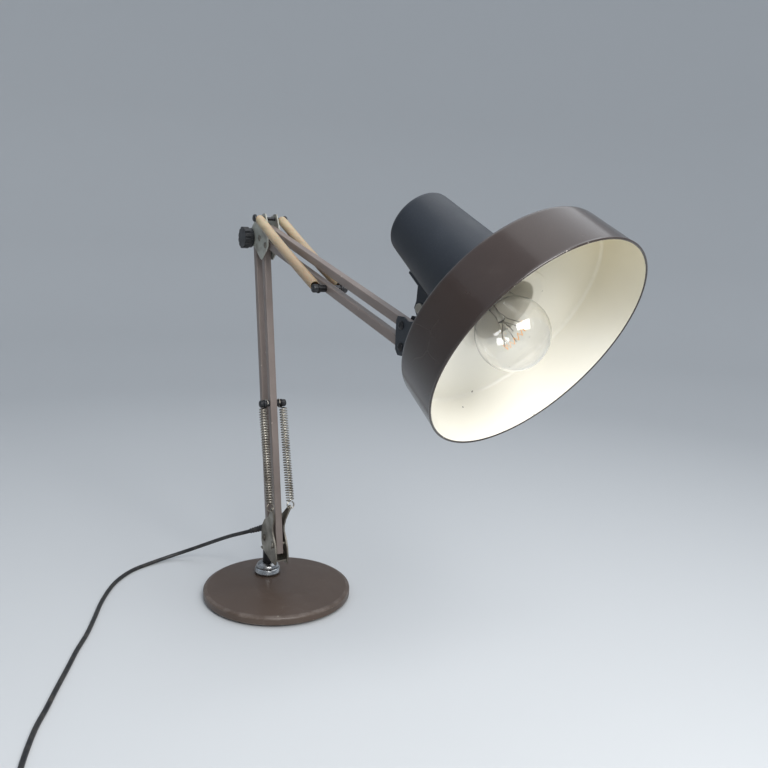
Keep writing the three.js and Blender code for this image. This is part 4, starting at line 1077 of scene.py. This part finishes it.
# ---- Rear cap -----------------------------------------------------------------------------------
# A drawn steel cone in satin black enamel closes the back over the lampholder. Its base meets the
# drum's back, and the push switch comes out of its flat end.
CAP_LENGTH = 122
CAP_END = -CAP_LENGTH
cap = turned("drawn_rear_cap", [
    (41.2, -10), (42, -0.3, 0.3), (30.5, CAP_END, 6), (6.6, CAP_END, 0.3), (6.6, CAP_END + SHEET),
    (29.7, CAP_END + SHEET, 5), (41.2, -0.3), (41.2, -0.3),
], SHADE, 144)
cap.data.materials.append(SATIN_BLACK_SKY_BLUE)
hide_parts("rear_cap")
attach(cap, "shade")

# ---- Tilt bolt and knob -------------------------------------------------------------------------
# A zinc bolt passes through the strap's ears and the yoke's tongue, with a ribbed knob on one end.
# The shade turns about it when it tilts.
TILT = to_shade @ HEAD @ Vector((0, 0, 0.402))
AT_TILT = SHADE @ Matrix.Translation(TILT) @ ACROSS
tilt_bolt = turned("tilt_bolt_turned", [
    (0, -10), (3.2, -10, 0.4), (4.6, -9, 0.4), (4.6, -7.4, 0.2), (2.5, -7.4), (2.5, 17.5, 0.4), (0, 17.5)],
    AT_TILT, 40)
tilt_bolt.data.materials.append(ZINC)
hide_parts("tilt_bolt")
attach(tilt_bolt, "shade")
tilt_knob = softened("tilt_knob_rounded", "tilt_knob", 0.9, 3)
tilt_knob.data.materials.append(BLACK_PLASTIC)
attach(tilt_knob, "shade")

# ---- Lampholder and bulb ------------------------------------------------------------------------
# A clear globe on a nickelled screw cap sits in a bakelite holder. Inside are its glass stem, the
# lead wires and a zig-zag filament. It sags a little from the shade's axis.
LAMP = SHADE @ Matrix.Translation((0, 0, -0.092))
LAMP = LAMP @ Matrix.Rotation(math.radians(2.1), 4, "X") @ Matrix.Rotation(math.radians(3.2), 4, "Y")
GLOBE_RADIUS = 29.8
GLOBE_AT = 113
NECK_FOOT = GLOBE_AT - 57


def globe_outline(wall):
    """The bulb's outline: a neck that opens smoothly into the globe, wall mm inside its skin."""
    neck = [(12.6, NECK_FOOT), (13.0, NECK_FOOT + 6), (14.6, NECK_FOOT + 14), (17.6, NECK_FOOT + 22.5)]
    made = [(radius - wall, height) for radius, height in neck]
    first = math.radians(-42)
    steps = 24
    for k in range(steps + 1):
        angle = first + (math.pi / 2 - first) * k / steps
        radius = (GLOBE_RADIUS - wall) * math.cos(angle)
        made.append((radius if k < steps else 0, GLOBE_AT + (GLOBE_RADIUS - wall) * math.sin(angle)))
    return made


def clear_glass(tree, place):
    """Clear soda glass with a breath of dust on it."""
    film = add(tree, "ShaderNodeTexNoise", {"Vector": place, "Scale": 60, "Detail": 5})
    return {
        "Roughness": add(tree, "ShaderNodeMapRange", {0: film, 1: 0.4, 2: 0.75, 3: 0.0, 4: 0.06}),
    }


GLASS = new_material(
    "clear_soda_glass", {"Transmission Weight": 1, "IOR": 1.5, "Base Color": (1, 1, 1, 1)}, clear_glass)
bulb = turned("clear_globe_bulb", [*reversed(globe_outline(0.6)), *globe_outline(0)], LAMP, 96)
bulb.data.materials.append(GLASS)
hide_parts("bulb_glass")
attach(bulb, "shade")
stem = turned("bulb_glass_stem", [
    (0, NECK_FOOT + 1), (9.5, NECK_FOOT + 1, 0.5), (5, NECK_FOOT + 10, 6), (3.2, NECK_FOOT + 24, 1),
    (2.2, NECK_FOOT + 38, 0.8), (3.4, NECK_FOOT + 42, 1.5), (0, NECK_FOOT + 44)], LAMP, 40)
stem.data.materials.append(GLASS)
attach(stem, "shade")


def to_lamp(points):
    """Points in the lamp's own mm as points in the shared frame's mm."""
    return [LAMP @ (Vector(point) * MM) / MM for point in points]


# The filament's amber coating also carries a faint painted glow from its emission.
AMBER_PAINTED_GLOW = new_material(
    "amber_filament_coating_painted_glow",
    {"Metallic": 0.2, "Emission Strength": 0.8, "Emission Color": linear("#e8a23a")},
    worn_metal("#e0a548", "#b87a2a", (0.3, 0.5)))
FILAMENT_HEIGHT = GLOBE_AT + 2
ZIGZAGS = 8
leads = []
for side in (1, -1):
    leads.append([
        (side * 3, 0, NECK_FOOT + 2), (side * 2.2, 0, NECK_FOOT + 34), (side * 5, 0, GLOBE_AT - 12),
        (side * 13, 0, FILAMENT_HEIGHT),
    ])
supports = [
    [(0, 0, NECK_FOOT + 43), (9 * math.cos(a), 9 * math.sin(a), FILAMENT_HEIGHT - 3),
     (9 * math.cos(a), 9 * math.sin(a), FILAMENT_HEIGHT + 1)]
    for a in (math.radians(turn) for turn in (50, 130, 230, 310))
]
bulb_wires = wire("bulb_lead_wires", [to_lamp(path) for path in leads + supports], 0.32, SPRING_STEEL, 8)
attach(bulb_wires, "shade")
zigzag = []
for k in range(ZIGZAGS * 2 + 1):
    angle = math.pi * k / (ZIGZAGS * 2)
    rise = 2.4 if k % 2 else -2.4
    zigzag.append((13 * math.cos(angle), 6 * math.sin(angle), FILAMENT_HEIGHT + rise))
filament = wire("bulb_filament", [to_lamp(zigzag)], 0.4, AMBER_PAINTED_GLOW, 8)
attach(filament, "shade")
SCREW_TOP = NECK_FOOT - 0.3
thread = [
    (0, SCREW_TOP - 23.5), (4.6, SCREW_TOP - 23.5, 0.6), (5, SCREW_TOP - 22, 0.5),
    (9, SCREW_TOP - 20.5, 0.8),
]
for k in range(4):
    low = SCREW_TOP - 18.5 + k * 3.6
    thread += [(12.2, low, 0.6), (13.1, low + 1.8, 0.8)]
thread += [(12.4, SCREW_TOP - 3.6, 0.5), (13.1, SCREW_TOP - 3, 0.4), (13.1, SCREW_TOP, 0.2), (0, SCREW_TOP)]
screw_cap = turned("bulb_screw_cap", thread, LAMP, 64)
screw_cap.data.materials.append(BRASS)
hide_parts("bulb_base")
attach(screw_cap, "shade")


def bakelite(tree, place):
    """Moulded phenolic: dark brown-black, faintly mottled with wood flour, glossy where moulded."""
    mottle = add(tree, "ShaderNodeTexNoise", {"Vector": place, "Scale": 500, "Detail": 6})
    colours = {0: mottle, 6: linear("#171412"), 7: linear("#33291f")}
    return {
        "Base Color": add(tree, "ShaderNodeMix", colours, 2, data_type="RGBA"),
        "Roughness": add(tree, "ShaderNodeMapRange", {0: mottle, 1: 0.3, 2: 0.7, 3: 0.24, 4: 0.42}),
    }


BAKELITE = new_material("moulded_bakelite", {}, bakelite)
holder = turned("bakelite_lampholder", [
    (0, 2), (14, 2, 1), (19, 6, 1), (19, SCREW_TOP - 22, 0.5), (20.5, SCREW_TOP - 20, 0.8),
    (20.5, SCREW_TOP - 6, 0.8), (18.6, SCREW_TOP - 4.6, 0.5), (13.7, SCREW_TOP - 4.6, 0.3),
    (13.7, SCREW_TOP - 24.4), (0, SCREW_TOP - 24.4),
], LAMP, 64)
holder.data.materials.append(BAKELITE)
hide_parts("lampholder")
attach(holder, "shade")
strip = softened("holder_cross_strip", "holder_strip", 0.3)
strip.data.materials.append(ZINC)
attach(strip, "shade")

# ---- Push switch --------------------------------------------------------------------------------
# A black moulded switch sits in the cap's end behind a low bezel, with a white nylon button.
switch = turned("push_switch", [
    (0, CAP_END + 18), (9, CAP_END + 18, 0.5), (9, CAP_END + 1.1, 0.3), (6.2, CAP_END + 1.1),
    (6.2, CAP_END - 1.4, 0.5), (4.9, CAP_END - 1.4, 0.3), (4.9, CAP_END + 8), (0, CAP_END + 8),
], SHADE, 48)
switch.data.materials.append(BLACK_PLASTIC)
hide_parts("switch_body")
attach(switch, "shade")
button = turned("push_button", [
    (0, CAP_END - 4.6), (3.6, CAP_END - 4.4, 1), (4.6, CAP_END - 3, 0.8), (4.6, CAP_END + 3.6, 0.3),
    (0, CAP_END + 3.6)], SHADE, 48)
button.data.materials.append(NYLON)
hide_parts("switch_button")
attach(button, "button")
